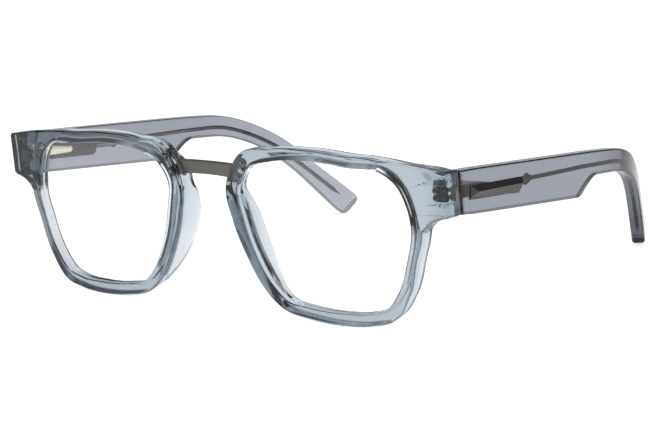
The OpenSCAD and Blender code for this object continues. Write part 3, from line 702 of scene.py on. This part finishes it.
def temple_point(s, up, inward):
    """A place in the temple: along it, above its middle line, and inwards from its outer face."""
    y0, z0 = line_at(s)
    a = slope_at(s)
    y = y0 + up * sin_d(a) * smooth(s / 8)
    yaw = math.atan(run_in(y + 0.5) - run_in(y - 0.5))
    return (FRONT_W / 2 - run_in(y) - inward * math.cos(yaw), y - inward * math.sin(yaw),
            z0 + up * cos_d(a))


print("temple's length along its line, mm:", round(TEMPLE_L, 1))

# %% [markdown]
# The temple's section is a bar with four rounded edges. Rings stand close together where the
# lower edge steps up, and the last ones shrink along a quarter circle, which closes the tip.
# %% Temple solid
TEMPLE_ROUND, TIP_ROUND, BUTT_EASE = 0.7, 2.6, 0.18
TIP_FLAT, TIP_SIDE = 0.97, 1.85


def temple_ring(s, inset=0.0, side_inset=0.0):
    t, r = temple_thick(s), TEMPLE_ROUND
    up, down = up_at(s) - inset, down_at(s) - inset
    lo, hi = side_inset, t - side_inset
    ring = []
    for cx, cy, a, c in ((up - r, lo + r, -Y, X), (up - r, hi - r, X, Y),
                         (r - down, hi - r, Y, -X), (r - down, lo + r, -X, -Y)):
        points = arc(np.array([cx, cy]), a * r, c * r, 5)
        ring += [points[0] - c * HOLD] + points + [points[-1] - a * HOLD]
    return [temple_point(s, q[0], q[1]) for q in ring]


def temple_stations():
    """Places along the temple, closer together at the step."""
    spans = ((8, STEP_L - 2, 22), (STEP_L - 1.6, STEP_L + 1.6, 12), (STEP_L + 2, STEP_L + STEP_RUN + 1, 16),
             (STEP_L + STEP_RUN + 2, BEND_END, 44), (BEND_END + 1, TEMPLE_L - TIP_ROUND, 22))
    return [0.25, 2, 5] + [s for span in spans for s in np.linspace(*span)]


def temple_rings():
    rings = [temple_ring(0.0, BUTT_EASE, BUTT_EASE)] + [temple_ring(s) for s in temple_stations()]
    for a in np.linspace(0, 90, 12)[1:]:
        s = TEMPLE_L - TIP_ROUND + TIP_ROUND * sin_d(a)
        near_end = max(TIP_ROUND - (TEMPLE_L - s), 0) / TIP_ROUND
        rings.append(temple_ring(s, TIP_ROUND * (1 - cos_d(a)) * TIP_FLAT,
                                 TIP_SIDE * (1 - math.sqrt(max(1 - near_end**2, 0)))))
    return rings


for side, left in SIDES:
    temple = ring_solid(f"temple_{side}_acetate", temple_rings(), left)
    finish_piece(temple, temple_acetate, ARMS[side], "acetate_temple", f"temple_{side}")

# %% [markdown]
# A demonstration lens is a thin clear plate that follows the front's curve. Its edge is ground to
# a V, which sits in the rim's groove with a little air round it. That air matters: seen through
# the acetate, the groove shows as one fine dark line round the opening.
# %% Lenses
LENS_T, LENS_GAP, LENS_AROUND = 1.8, 0.12, 120
LENS_SHARES = [0.01, 0.15, 0.3, 0.45, 0.6, 0.75, 0.88, 0.96, 0.995, 1]


def clear_lens():
    finish, f = new_finish("lens_clear")
    film = f.add("ShaderNodeTexCoord", out="Object").noise(35.0, 1.0)
    gloss = f.add("ShaderNodeBsdfPrincipled", inputs={
        "Base Color": film.blend((0.985, 0.99, 0.99, 1), (1, 1, 1, 1)), "Roughness": film * 0.004,
        "IOR": 1.498, "Transmission Weight": 1.0})
    return close_finish(finish, f, clear_shadow(f, gloss, (0.93, 0.94, 0.94)))


def lens_ring(share, off, y):
    """A ring on a lens face: its share of the way from the middle to an offset of the opening."""
    ring = []
    for t in (KNOTS * i / LENS_AROUND for i in range(LENS_AROUND)):
        q = mix(np.array([EYE_X, -EYE_DROP]), eye_at(t) + eye_out(t) * off, share)
        ring.append((q[0], bow(q[0]) + y, q[1]))
    return ring


def lens_rings():
    front, rear = GROOVE_Y - LENS_T / 2, GROOVE_Y + LENS_T / 2
    return ([lens_ring(k, -LENS_GAP, front) for k in LENS_SHARES]
            + [lens_ring(1, GROOVE_D - LENS_GAP, GROOVE_Y)]
            + [lens_ring(k, -LENS_GAP, rear) for k in reversed(LENS_SHARES)])


lens_finish = clear_lens()
for side, left in SIDES:
    lens = ring_solid(f"lens_{side}_clear", lens_rings(), left, sharp=25)
    finish_piece(lens, lens_finish, "front", "lens", f"lens_{side}")

# %% [markdown]
# The metals that show are gunmetal on the bridge and the plaques, warmer and brighter nickel silver
# on the hinges, and steel screws. All are brushed. The front halves of the hinges get a darker copy
# of the nickel silver, and the combs a near-black one with a dim edge: both are painted shade, for
# the shade at the endpiece and inside the temple. Brushing is noise stretched along one axis: it
# feeds the roughness and a very low bump, so that highlights break into fine lines.
# %% Metals


def brushed(name, dark, light, rough, stretch, edge=1.0):
    """A metal between two shades, brushed along the axis that is stretched the most."""
    finish, f = new_finish(name)
    place = f.add("ShaderNodeTexCoord", out="Object")
    lines = f.add("ShaderNodeMapping", inputs={"Vector": place, "Scale": stretch}).noise(1400.0, 3.0)
    shade = lines * 0.6 + place.noise(220.0, 2.0) * 0.4
    scratches = f.add("ShaderNodeBump", inputs={"Height": lines, "Strength": 0.08, "Distance": 0.00005})
    metal = f.add("ShaderNodeBsdfPrincipled", inputs={
        "Base Color": shade.blend((*dark, 1), (*light, 1)), "Metallic": 1.0,
        "Roughness": lines * 0.16 + (rough - 0.08), "Normal": scratches, "Specular Tint": grey(edge)})
    return close_finish(finish, f, metal)


gunmetal = brushed("gunmetal_brushed", (0.135, 0.129, 0.116), (0.195, 0.185, 0.168), 0.34, (0.08, 1, 1))
plate_metal = brushed("gunmetal_plate", (0.26, 0.25, 0.225), (0.36, 0.343, 0.31), 0.3, (1, 1, 0.1))
plaque_metal = brushed("gunmetal_plaque", (0.078, 0.075, 0.07), (0.11, 0.106, 0.1), 0.26, (1, 0.08, 1))
wire_metal = brushed("core_wire_drawn", (0.15, 0.142, 0.13), (0.24, 0.228, 0.21), 0.28, (1, 0.05, 1))
nickel = brushed("nickel_silver", (0.72, 0.65, 0.50), (0.98, 0.93, 0.82), 0.16, (1, 0.1, 1))
# painted shade: a darker copy of the nickel silver, for the hinges' front halves
painted_shade_nickel = brushed("nickel_silver_painted_shade", (0.16, 0.15, 0.135), (0.42, 0.39, 0.34), 0.24, (1, 0.1, 1))
# painted shade: the comb's near-black colour and dim edge stand for the shade inside the temple
painted_shade_comb = brushed("comb_near_black_painted_shade", (0.018, 0.018, 0.018), (0.05, 0.048, 0.045), 0.3, (1, 0.1, 1), 0.3)
screw_steel = brushed("screw_steel", (0.42, 0.41, 0.39), (0.6, 0.59, 0.56), 0.2, (1, 1, 1))

# %% [markdown]
# Two ways of shaping cover most small metal parts. A prism is an outline sawn from sheet, and a
# lathe turns a profile. Both get a fine bevel or a rounded profile, because an edge without one
# never catches the light as real metal does.
# %% Metal shapes


def prism(name, outline, low, high, place, left=True, bevel=0.0, segments=2):
    """An outline drawn out between two depths. place(u, v, w) says where a point goes."""
    n = len(outline)
    points = [place(u, v, w) for w in (low, high) for u, v in outline]
    faces = [tuple(range(n)), tuple(range(2 * n - 1, n - 1, -1))]
    faces += [(i, (i + 1) % n, n + (i + 1) % n, n + i) for i in range(n)]
    return solid_from(name, points, faces, left, 35, bevel, segments)


def lathe(name, profile, centre, axis, steps, left):
    """A turned piece: a profile of (radius, height) about the y or the z axis through a centre."""
    points, k = [], len(profile)
    for i in range(steps):
        a = 2 * math.pi * i / steps
        for r, h in profile:
            u, v = r * math.cos(a), r * math.sin(a)
            off = (u, v, h) if axis == "z" else (u, h, v)
            points.append([c + d for c, d in zip(centre, off)])
    faces = [(i * k + j, ((i + 1) % steps) * k + j, ((i + 1) % steps) * k + j + 1, i * k + j + 1)
             for i in range(steps) for j in range(k - 1)]
    return solid_from(name, points, faces, left, 30, 0.0)


def joined(name, pieces):
    """Several shapes as one piece."""
    b = bmesh.new()
    for piece in pieces:
        b.from_mesh(piece.data)
        bpy.data.objects.remove(piece)
    mesh = bpy.data.meshes.new(name)
    b.to_mesh(mesh)
    b.free()
    return add_object(name, mesh)


def as_drawn(u, v, w):
    return u, v, w


def upright(u, v, w):
    return u, w, v


# %% [markdown]
# Knuckles, wire ribs and bridge screws all repeat one shape along a line. Geometry Nodes suit
# that: one tree takes the shape, a start, a step and a count, sets a copy on each point of a line,
# and gives them all one material. The result is made a plain mesh, because instances and live
# modifiers would be lost later.
# %% Copies along a line


def copies_tree():
    tree = bpy.data.node_groups.new("copies_along_a_line", "GeometryNodeTree")
    for name, kind in (("Shape", "NodeSocketObject"), ("Count", "NodeSocketInt"),
                       ("Start", "NodeSocketVector"), ("Step", "NodeSocketVector"),
                       ("Finish", "NodeSocketMaterial")):
        tree.interface.new_socket(name, in_out="INPUT", socket_type=kind)
    tree.interface.new_socket("Geometry", in_out="OUTPUT", socket_type="NodeSocketGeometry")
    begin, line, shape, place, real, paint, end = (tree.nodes.new(kind) for kind in (
        "NodeGroupInput", "GeometryNodeMeshLine", "GeometryNodeObjectInfo",
        "GeometryNodeInstanceOnPoints", "GeometryNodeRealizeInstances", "GeometryNodeSetMaterial",
        "NodeGroupOutput"))
    line.mode = "OFFSET"
    for source, output, target, socket in (
            (begin, "Count", line, "Count"), (begin, "Start", line, "Start Location"),
            (begin, "Step", line, "Offset"), (begin, "Shape", shape, "Object"),
            (line, "Mesh", place, "Points"), (shape, "Geometry", place, "Instance"),
            (place, "Instances", real, "Geometry"), (real, "Geometry", paint, "Geometry"),
            (begin, "Finish", paint, "Material"), (paint, "Geometry", end, "Geometry")):
        tree.links.new(source.outputs[output], target.inputs[socket])
    return tree


COPIES = copies_tree()


def copies(name, shape, count, start, step, finish):
    """Copies of a shape. Start and step are in mm in the drawing, from where the shape was made."""
    holder = add_object(name + "_holder", bpy.data.meshes.new(name))
    modifier = holder.modifiers.new("copies", "NODES")
    modifier.node_group = COPIES
    values = {"Shape": shape, "Count": count, "Finish": finish,
              "Start": [v / 1000 for v in to_model(start, turn_only=True)],
              "Step": [v / 1000 for v in to_model(step, turn_only=True)]}
    for item in COPIES.interface.items_tree:
        if item.in_out == "INPUT":
            modifier[item.identifier] = values[item.name]
    holder.update_tag()
    bpy.context.view_layer.update()
    made = holder.evaluated_get(bpy.context.evaluated_depsgraph_get())
    mesh = bpy.data.meshes.new_from_object(made)
    bpy.data.objects.remove(holder)
    bpy.data.objects.remove(shape)
    print(name, "copies:", count, "faces:", len(mesh.polygons))
    return add_object(name, mesh)


# %% [markdown]
# The bridge is a flat bar between two plates. On the real frame the bar is soldered on, and each
# plate is let into its rim from behind. It is a prism too, sawn from sheet with its arch.
# %% Bridge bar
PLATE_Y, PLATE_T = 2.9, 1.1
PLATE_TOP, PLATE_LOW = (NOSE_GAP / 2 - 1.7, -0.45), (NOSE_GAP / 2 - 4.4, -7.05)
BAR_H, BAR_T, BAR_ARCH, BAR_TOP, BAR_BELLY = 3.4, 1.6, 0.2, -2.7, 0.4
BAR_Y = PLATE_Y + PLATE_T / 2 - BAR_T / 2


def plate_edge(z):
    """Where a plate's inner edge lies at a height. The bar ends on it."""
    return mix(PLATE_LOW[0], PLATE_TOP[0], (z - PLATE_LOW[1]) / (PLATE_TOP[1] - PLATE_LOW[1]))


def arch(x):
    return BAR_ARCH * (1 - (x / plate_edge(BAR_TOP))**2)


top_x, low_x = plate_edge(BAR_TOP), plate_edge(BAR_TOP - BAR_H)
bar_outline = [(x, BAR_TOP + arch(x)) for x in np.linspace(-top_x, top_x, 25)]
bar_low = BAR_TOP - BAR_H - BAR_BELLY
bar_outline += [(x, bar_low + 2.5 * arch(x)) for x in np.linspace(low_x, -low_x, 25)]
bar = prism("bridge_bar_brushed", bar_outline, BAR_Y, BAR_Y + BAR_T, upright, bevel=0.3, segments=3)
finish_piece(bar, gunmetal, "front", "bridge_metal", "bridge_bar")

# %% [markdown]
# Two screws hold each plate. Their tips show from the front as small bright eyes, each in a round
# ear of the plate. The hinge screws are small enough to stay as the CAD model has them, and only
# take the steel.
# %% Bridge plates and screws
PLATE_SCREW_R, PLATE_BEVEL = 0.5, 0.12
EYE_SCREW, LOW_SCREW = (NOSE_GAP / 2 + 0.6, -1.75), (NOSE_GAP / 2 - 0.9, -5.75)
EYE_EAR, LOW_EAR = 1.3, 1.2


def screw_profile():
    r, t = PLATE_SCREW_R, PLATE_T
    return [(0, -0.62), (0.2, -0.64), (0.3, -0.8), (0.42, -0.8), (r, -0.72), (r, t), (0.9, t + 0.02),
            (1.0, t + 0.1), (1.0, t + 0.45), (0.85, t + 0.6), (0, t + 0.62)]


def ear(screw, radius, start, end, steps):
    """A round end about a screw, between two angles from straight up."""
    return [(screw[0] + radius * math.sin(a), screw[1] + radius * math.cos(a))
            for a in np.linspace(start, end, steps)]


def plate_outline():
    waist = [(plate_edge(-3.45) + 2.0, -3.45), (plate_edge(-4.4) + 2.1, -4.4)]
    return ([PLATE_TOP, (EYE_SCREW[0] - 0.3, PLATE_TOP[1] + 0.1)] + ear(EYE_SCREW, EYE_EAR, 0.2, 2.6, 12)
            + waist + ear(LOW_SCREW, LOW_EAR, 0.6, 2.4, 8) + [(PLATE_LOW[0] + 3.2, PLATE_LOW[1]), PLATE_LOW])


for side, left in SIDES:
    screw = lathe("screw", screw_profile(), (EYE_SCREW[0], PLATE_Y, EYE_SCREW[1]), "y", 28, left)
    step = ((LOW_SCREW[0] - EYE_SCREW[0]) * (1 if left else -1), 0, LOW_SCREW[1] - EYE_SCREW[1])
    screws = copies(f"bridge_screws_{side}_steel", screw, 2, (0, 0, 0), step, screw_steel)
    finish_piece(screws, screw_steel, "front", "screw_metal", f"bridge_screws_{side}")
    plate = prism(f"bridge_plate_{side}_gunmetal", plate_outline(), PLATE_Y, PLATE_Y + PLATE_T,
                  upright, left, PLATE_BEVEL)
    finish_piece(plate, plate_metal, "front", "bridge_metal", f"bridge_plate_{side}")
    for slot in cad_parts[f"hinge_screw_{side}"].material_slots:
        slot.material = screw_steel

# %% [markdown]
# A hinge has five knuckles: two belong to the front and three to the temple. All are the same
# short tube, so a lathe and two rows of copies make them. The front half ends in a toothed anchor
# that is pressed warm into the endpiece, where it shows through the acetate.
# %% Hinge measures and the front half
KNUCKLE_H, KNUCKLE_R, KNUCKLE_GAP, TOOTH = 0.88, 1.3, 0.06, 0.8
HINGE_X, HINGE_Y, HINGE_Z = FRONT_W / 2 - TEMPLE_T - 2.1, LUG_BACK + KNUCKLE_R + 0.4, LINE_Z - 0.9
KNUCKLE_STEP = KNUCKLE_H + KNUCKLE_GAP
HINGE_HALF = (5 * KNUCKLE_STEP - KNUCKLE_GAP) / 2
print("hinge height, mm:", round(2 * HINGE_HALF, 2))
ANCHOR_X, ANCHOR_H, ANCHOR_W = FRONT_W / 2 - 3.3, 3.6, 4.2
ANCHOR_Y, WEB_DEPTH = LUG_BACK - 1.3, 1.2


def knuckles(name, first, count, left):
    """Every second knuckle, counted from the lowest."""
    r, h, e = KNUCKLE_R, KNUCKLE_H, 0.07
    profile = [(0, 0), (r - e, 0), (r - e * 0.3, e * 0.3), (r, e), (r, h - e),
               (r - e * 0.3, h - e * 0.3), (r - e, h), (0, h)]
    tube = lathe("knuckle", profile, (HINGE_X, HINGE_Y, HINGE_Z - HINGE_HALF), "z", 36, left)
    return copies(name, tube, count, (0, 0, first * KNUCKLE_STEP), (0, 0, 2 * KNUCKLE_STEP), nickel)


def box_outline(u0, u1, v0, v1):
    return [(u0, v0), (u1, v0), (u1, v1), (u0, v1)]


def webs(numbers, outline, left):
    """The short arms that join knuckles to the metal behind them."""
    lows = [HINGE_Z - HINGE_HALF + i * KNUCKLE_STEP for i in numbers]
    return [prism("web", outline, low, low + KNUCKLE_H, as_drawn, left, 0.05) for low in lows]


def toothed_end(l, h):
    made = [(0, -h / 2), (0, h / 2), (l - TOOTH, h / 2)]
    for i in range(3):
        made += [(l, h / 2 - h * (i + 0.25) / 3), (l - TOOTH, h / 2 - h * (i + 0.75) / 3)]
    return made + [(l - TOOTH, -h / 2)]


def into_endpiece(u, v, w):
    return ANCHOR_X + ANCHOR_W / 2 - u, w, HINGE_Z - v


def front_half(side, left):
    pair = knuckles(f"front_knuckles_{side}", 1, 2, left)
    arm = box_outline(HINGE_X - 0.3, HINGE_X + KNUCKLE_R + 0.6, LUG_BACK - WEB_DEPTH, HINGE_Y)
    anchor = prism("anchor", toothed_end(ANCHOR_W, ANCHOR_H), ANCHOR_Y, LUG_BACK, into_endpiece, left, 0.06)
    ends = ANCHOR_X - 1.2, ANCHOR_X + ANCHOR_W / 2 - TOOTH - 0.2
    bars = [prism("bar", box_outline(*ends, z - 0.45, z + 0.45), ANCHOR_Y - 0.5, ANCHOR_Y + 0.3,
                  upright, left, 0.2) for z in (HINGE_Z - 1.0, HINGE_Z + 1.0)]
    return joined(f"hinge_front_{side}_nickel", [pair, anchor] + webs((1, 3), arm, left) + bars)


# %% [markdown]
# The temple half carries a raised leaf, which shows bright on the inner face, and a comb that is
# shot into the temple. The leaf is domed, so rings make it better than a sawn outline. The comb
# takes another finish, painted near black as painted shade for the shade inside the temple, so it
# is a piece of its own, although the CAD model has both in one node.
# %% The temple half and its comb
LEAF_OUT, LEAF_IN, LEAF_L = FRONT_W / 2 - TEMPLE_T + 1.2, HINGE_X + 0.9, 15.5
LEAF_Y, LEAF_END_Z = HINGE_Y + KNUCKLE_R + 0.35, LINE_Z - 1.15 - LEAF_L * sin_d(SLOPE)
COMB_S, COMB_L, COMB_H, COMB_Z, COMB_PITCH, COMB_SLOT = 6.2, 19.2, 2.7, -1.9, 1.12, 1.3
COMB_OUT, COMB_IN = LEAF_OUT + 0.1, LEAF_OUT - 0.95


def leaf_ring(u):
    """The leaf is domed and tapers, so its light runs in bands."""
    y = mix(LEAF_Y - 0.2, BUTT_Y + LEAF_L, u)
    mid, half = mix(HINGE_Z + 0.1, LEAF_END_Z + 0.3, u), mix(2.3, 1.3, u)
    rise = (LEAF_OUT - LEAF_IN) * (1 - 0.25 * u) * (1 - max(u * 12 - 11, 0) * 0.5)
    turns = [(math.cos(a), math.sin(a)) for a in np.linspace(0, math.pi, 15)]
    return [(LEAF_OUT - rise * s**0.6, y, mid + half * c * (0.75 + 0.25 * abs(c))) for c, s in turns]


def on_shaft(x, y, z):
    """A place given along the temple's middle line and square to it."""
    c, s = cos_d(SLOPE), sin_d(SLOPE)
    return x, BUTT_Y + y * c + z * s, LINE_Z - y * s + z * c


def toothed_top(l, h):
    n = math.floor(l / COMB_PITCH)
    slot = ((-0.35, 0), (-0.25, COMB_SLOT), (0.25, COMB_SLOT), (0.35, 0))
    made = [(0, -h / 2), (0, h / 2)]
    made += [(i * (l / n) + u, h / 2 - v) for i in range(1, n) for u, v in slot]
    return made + [(l, h / 2), (l, TOOTH - h / 2), (l - TOOTH, -h / 2)]


def along_shaft(u, v, w):
    return on_shaft(w, COMB_S + u, COMB_Z + v)


def temple_half(side, left):
    trio = knuckles(f"temple_knuckles_{side}", 0, 3, left)
    arm = box_outline(HINGE_X, HINGE_X + KNUCKLE_R, HINGE_Y, HINGE_Y + KNUCKLE_R + 0.6)
    leaf = ring_solid("leaf", [leaf_ring(u) for u in np.linspace(0, 1, 19)], left)
    return joined(f"hinge_temple_{side}_nickel", [trio, leaf] + webs((0, 2, 4), arm, left))


for side, left in SIDES:
    # The front half takes the darker nickel silver, a painted shade for the shade at the endpiece.
    finish_piece(front_half(side, left), painted_shade_nickel, "front", "hinge_metal", f"hinge_front_{side}")
    # The comb's near-black finish is painted shade, for the shade inside the temple.
    comb = prism(f"hinge_comb_{side}_dark", toothed_top(COMB_L, COMB_H), COMB_IN, COMB_OUT,
                 along_shaft, left, 0.05, segments=1)
    finish_piece(comb, painted_shade_comb, ARMS[side], "hinge_metal", f"hinge_temple_{side}")
    finish_piece(temple_half(side, left), nickel, ARMS[side], "hinge_metal", f"hinge_temple_{side}")

# %% [markdown]
# The core wire stiffens the temple, so that it can be bent to the ear. It is shot into the warm
# acetate: a ribbed root grips it, a small shield stops it, and the wire runs to a point. No air
# lies round it, so it is simply a metal solid inside the acetate.
# %% Core wires
WIRE_H, WIRE_T, WIRE_POINT = 1.15, 1.1, 3
WIRE_S0, WIRE_END = COMB_S + COMB_L + 0.15, TEMPLE_L - 6
WIRE_IN = FRONT_W / 2 - LEAF_OUT + 0.6
SHIELD_S, SHIELD_RISE, SHIELD_HALF = 33.2, 1.1, 2.6
RIBS, RIB_PITCH = 5, 1.12
# how far the wire lies below the middle line, at lengths behind the joint
WIRE_COURSE = ([24, 31, 33, 62, 78, 95], [0.75, 0.45, 0.15, -0.75, -0.95, -0.6])


def wire_half(s):
    if s > WIRE_END - WIRE_POINT:
        return max(WIRE_H / 2 * (WIRE_END - s) / WIRE_POINT, 0.12)
    return WIRE_H / 2 + SHIELD_RISE * max(0.0, 1 - abs(s - SHIELD_S) / SHIELD_HALF)


def wire_ring(s, extra=0.0):
    mid = mix(WIRE_IN, temple_thick(s) / 2, smooth((s - 60) / 30))
    drop = float(np.interp(s, *WIRE_COURSE))
    h, w = wire_half(s) + extra, WIRE_T / 2 * min(1.0, wire_half(s) / WIRE_H * 2)
    turns = [(math.cos(a), math.sin(a)) for a in np.linspace(0, 2 * math.pi, 16, endpoint=False)]
    return [temple_point(s, -drop + h * math.copysign(abs(d)**0.7, d),
                         mid + w * math.copysign(abs(c)**0.7, c)) for c, d in turns]


def wire_places():
    """Lengths for the wire's rings: the root, the shield, the long run and the point."""
    return np.concatenate([
        np.arange(WIRE_S0, SHIELD_S - SHIELD_HALF, 1.0),
        [SHIELD_S + share * SHIELD_HALF for share in (-1, -0.5, 0, 0.5, 1)],
        np.arange(SHIELD_S + 4, WIRE_END - WIRE_POINT, 1.5),
        [WIRE_END - WIRE_POINT, WIRE_END - WIRE_POINT / 2, WIRE_END]])


for side, left in SIDES:
    wire = ring_solid("wire", [wire_ring(s) for s in wire_places()], left)
    rib = ring_solid("rib", [wire_ring(WIRE_S0 + 0.75 + d, e) for d, e in
                             ((-0.3, 0.0), (-0.2, 0.22), (0.2, 0.22), (0.3, 0.0))], left)
    a, b = np.array(temple_point(WIRE_S0, 0, 0)), np.array(temple_point(WIRE_S0 + RIB_PITCH, 0, 0))
    step = (b - a) * (1 if left else -1, 1, 1)
    ribs = copies(f"wire_ribs_{side}", rib, RIBS, (0, 0, 0), step, wire_metal)
    core = joined(f"core_wire_{side}_drawn", [wire, ribs])
    finish_piece(core, wire_metal, ARMS[side], "wire_metal", f"core_wire_{side}")

# %% [markdown]
# The plaque is a small bar with a long ridge, let half a millimetre into the temple. Its upper
# facet looks dark and its lower facet light, only because they face different parts of the room.
# So the facets must be flat, with edges fine enough to catch a line of light.
# %% Plaques
PLAQUE_L, PLAQUE_H, PLAQUE_RISE, PLAQUE_S, PLAQUE_SINK = 24.2, 3.1, 1.1, 4.5, 0.5
PLAQUE_END_H, PLAQUE_LEAN, PLAQUE_UP, PLAQUE_TILT = PLAQUE_H + 1, 1.5, 1.0, 0.45
PLAQUE_OUTLINE = [(0, PLAQUE_UP - PLAQUE_TILT), (0, PLAQUE_UP - PLAQUE_TILT - PLAQUE_H),
                  (PLAQUE_L - PLAQUE_LEAN, PLAQUE_UP - PLAQUE_END_H), (PLAQUE_L, PLAQUE_UP)]
PLAQUE_RIDGE = [(0.65 * PLAQUE_H, PLAQUE_UP - PLAQUE_TILT - PLAQUE_H / 2),
                (PLAQUE_L - 1.2, PLAQUE_UP - 0.37 * PLAQUE_END_H)]
PLAQUE_FACES = [(0, 1, 2, 3), (0, 4, 5, 1), (1, 5, 6, 2), (2, 6, 7, 3), (3, 7, 4, 0),
                (4, 8, 5), (5, 8, 9), (5, 9, 6), (6, 9, 7), (7, 9, 8), (7, 8, 4)]

for side, left in SIDES:
    points = [on_shaft(FRONT_W / 2 + w, PLAQUE_S + u, v)
              for w in (-PLAQUE_SINK, 0.0) for u, v in PLAQUE_OUTLINE]
    points += [on_shaft(FRONT_W / 2 + PLAQUE_RISE, PLAQUE_S + u, v) for u, v in PLAQUE_RIDGE]
    plaque = solid_from(f"plaque_{side}_gunmetal", points, PLAQUE_FACES, left, 20, 0.06, 1)
    finish_piece(plaque, plaque_metal, ARMS[side], "plaque_metal", f"plaque_{side}")
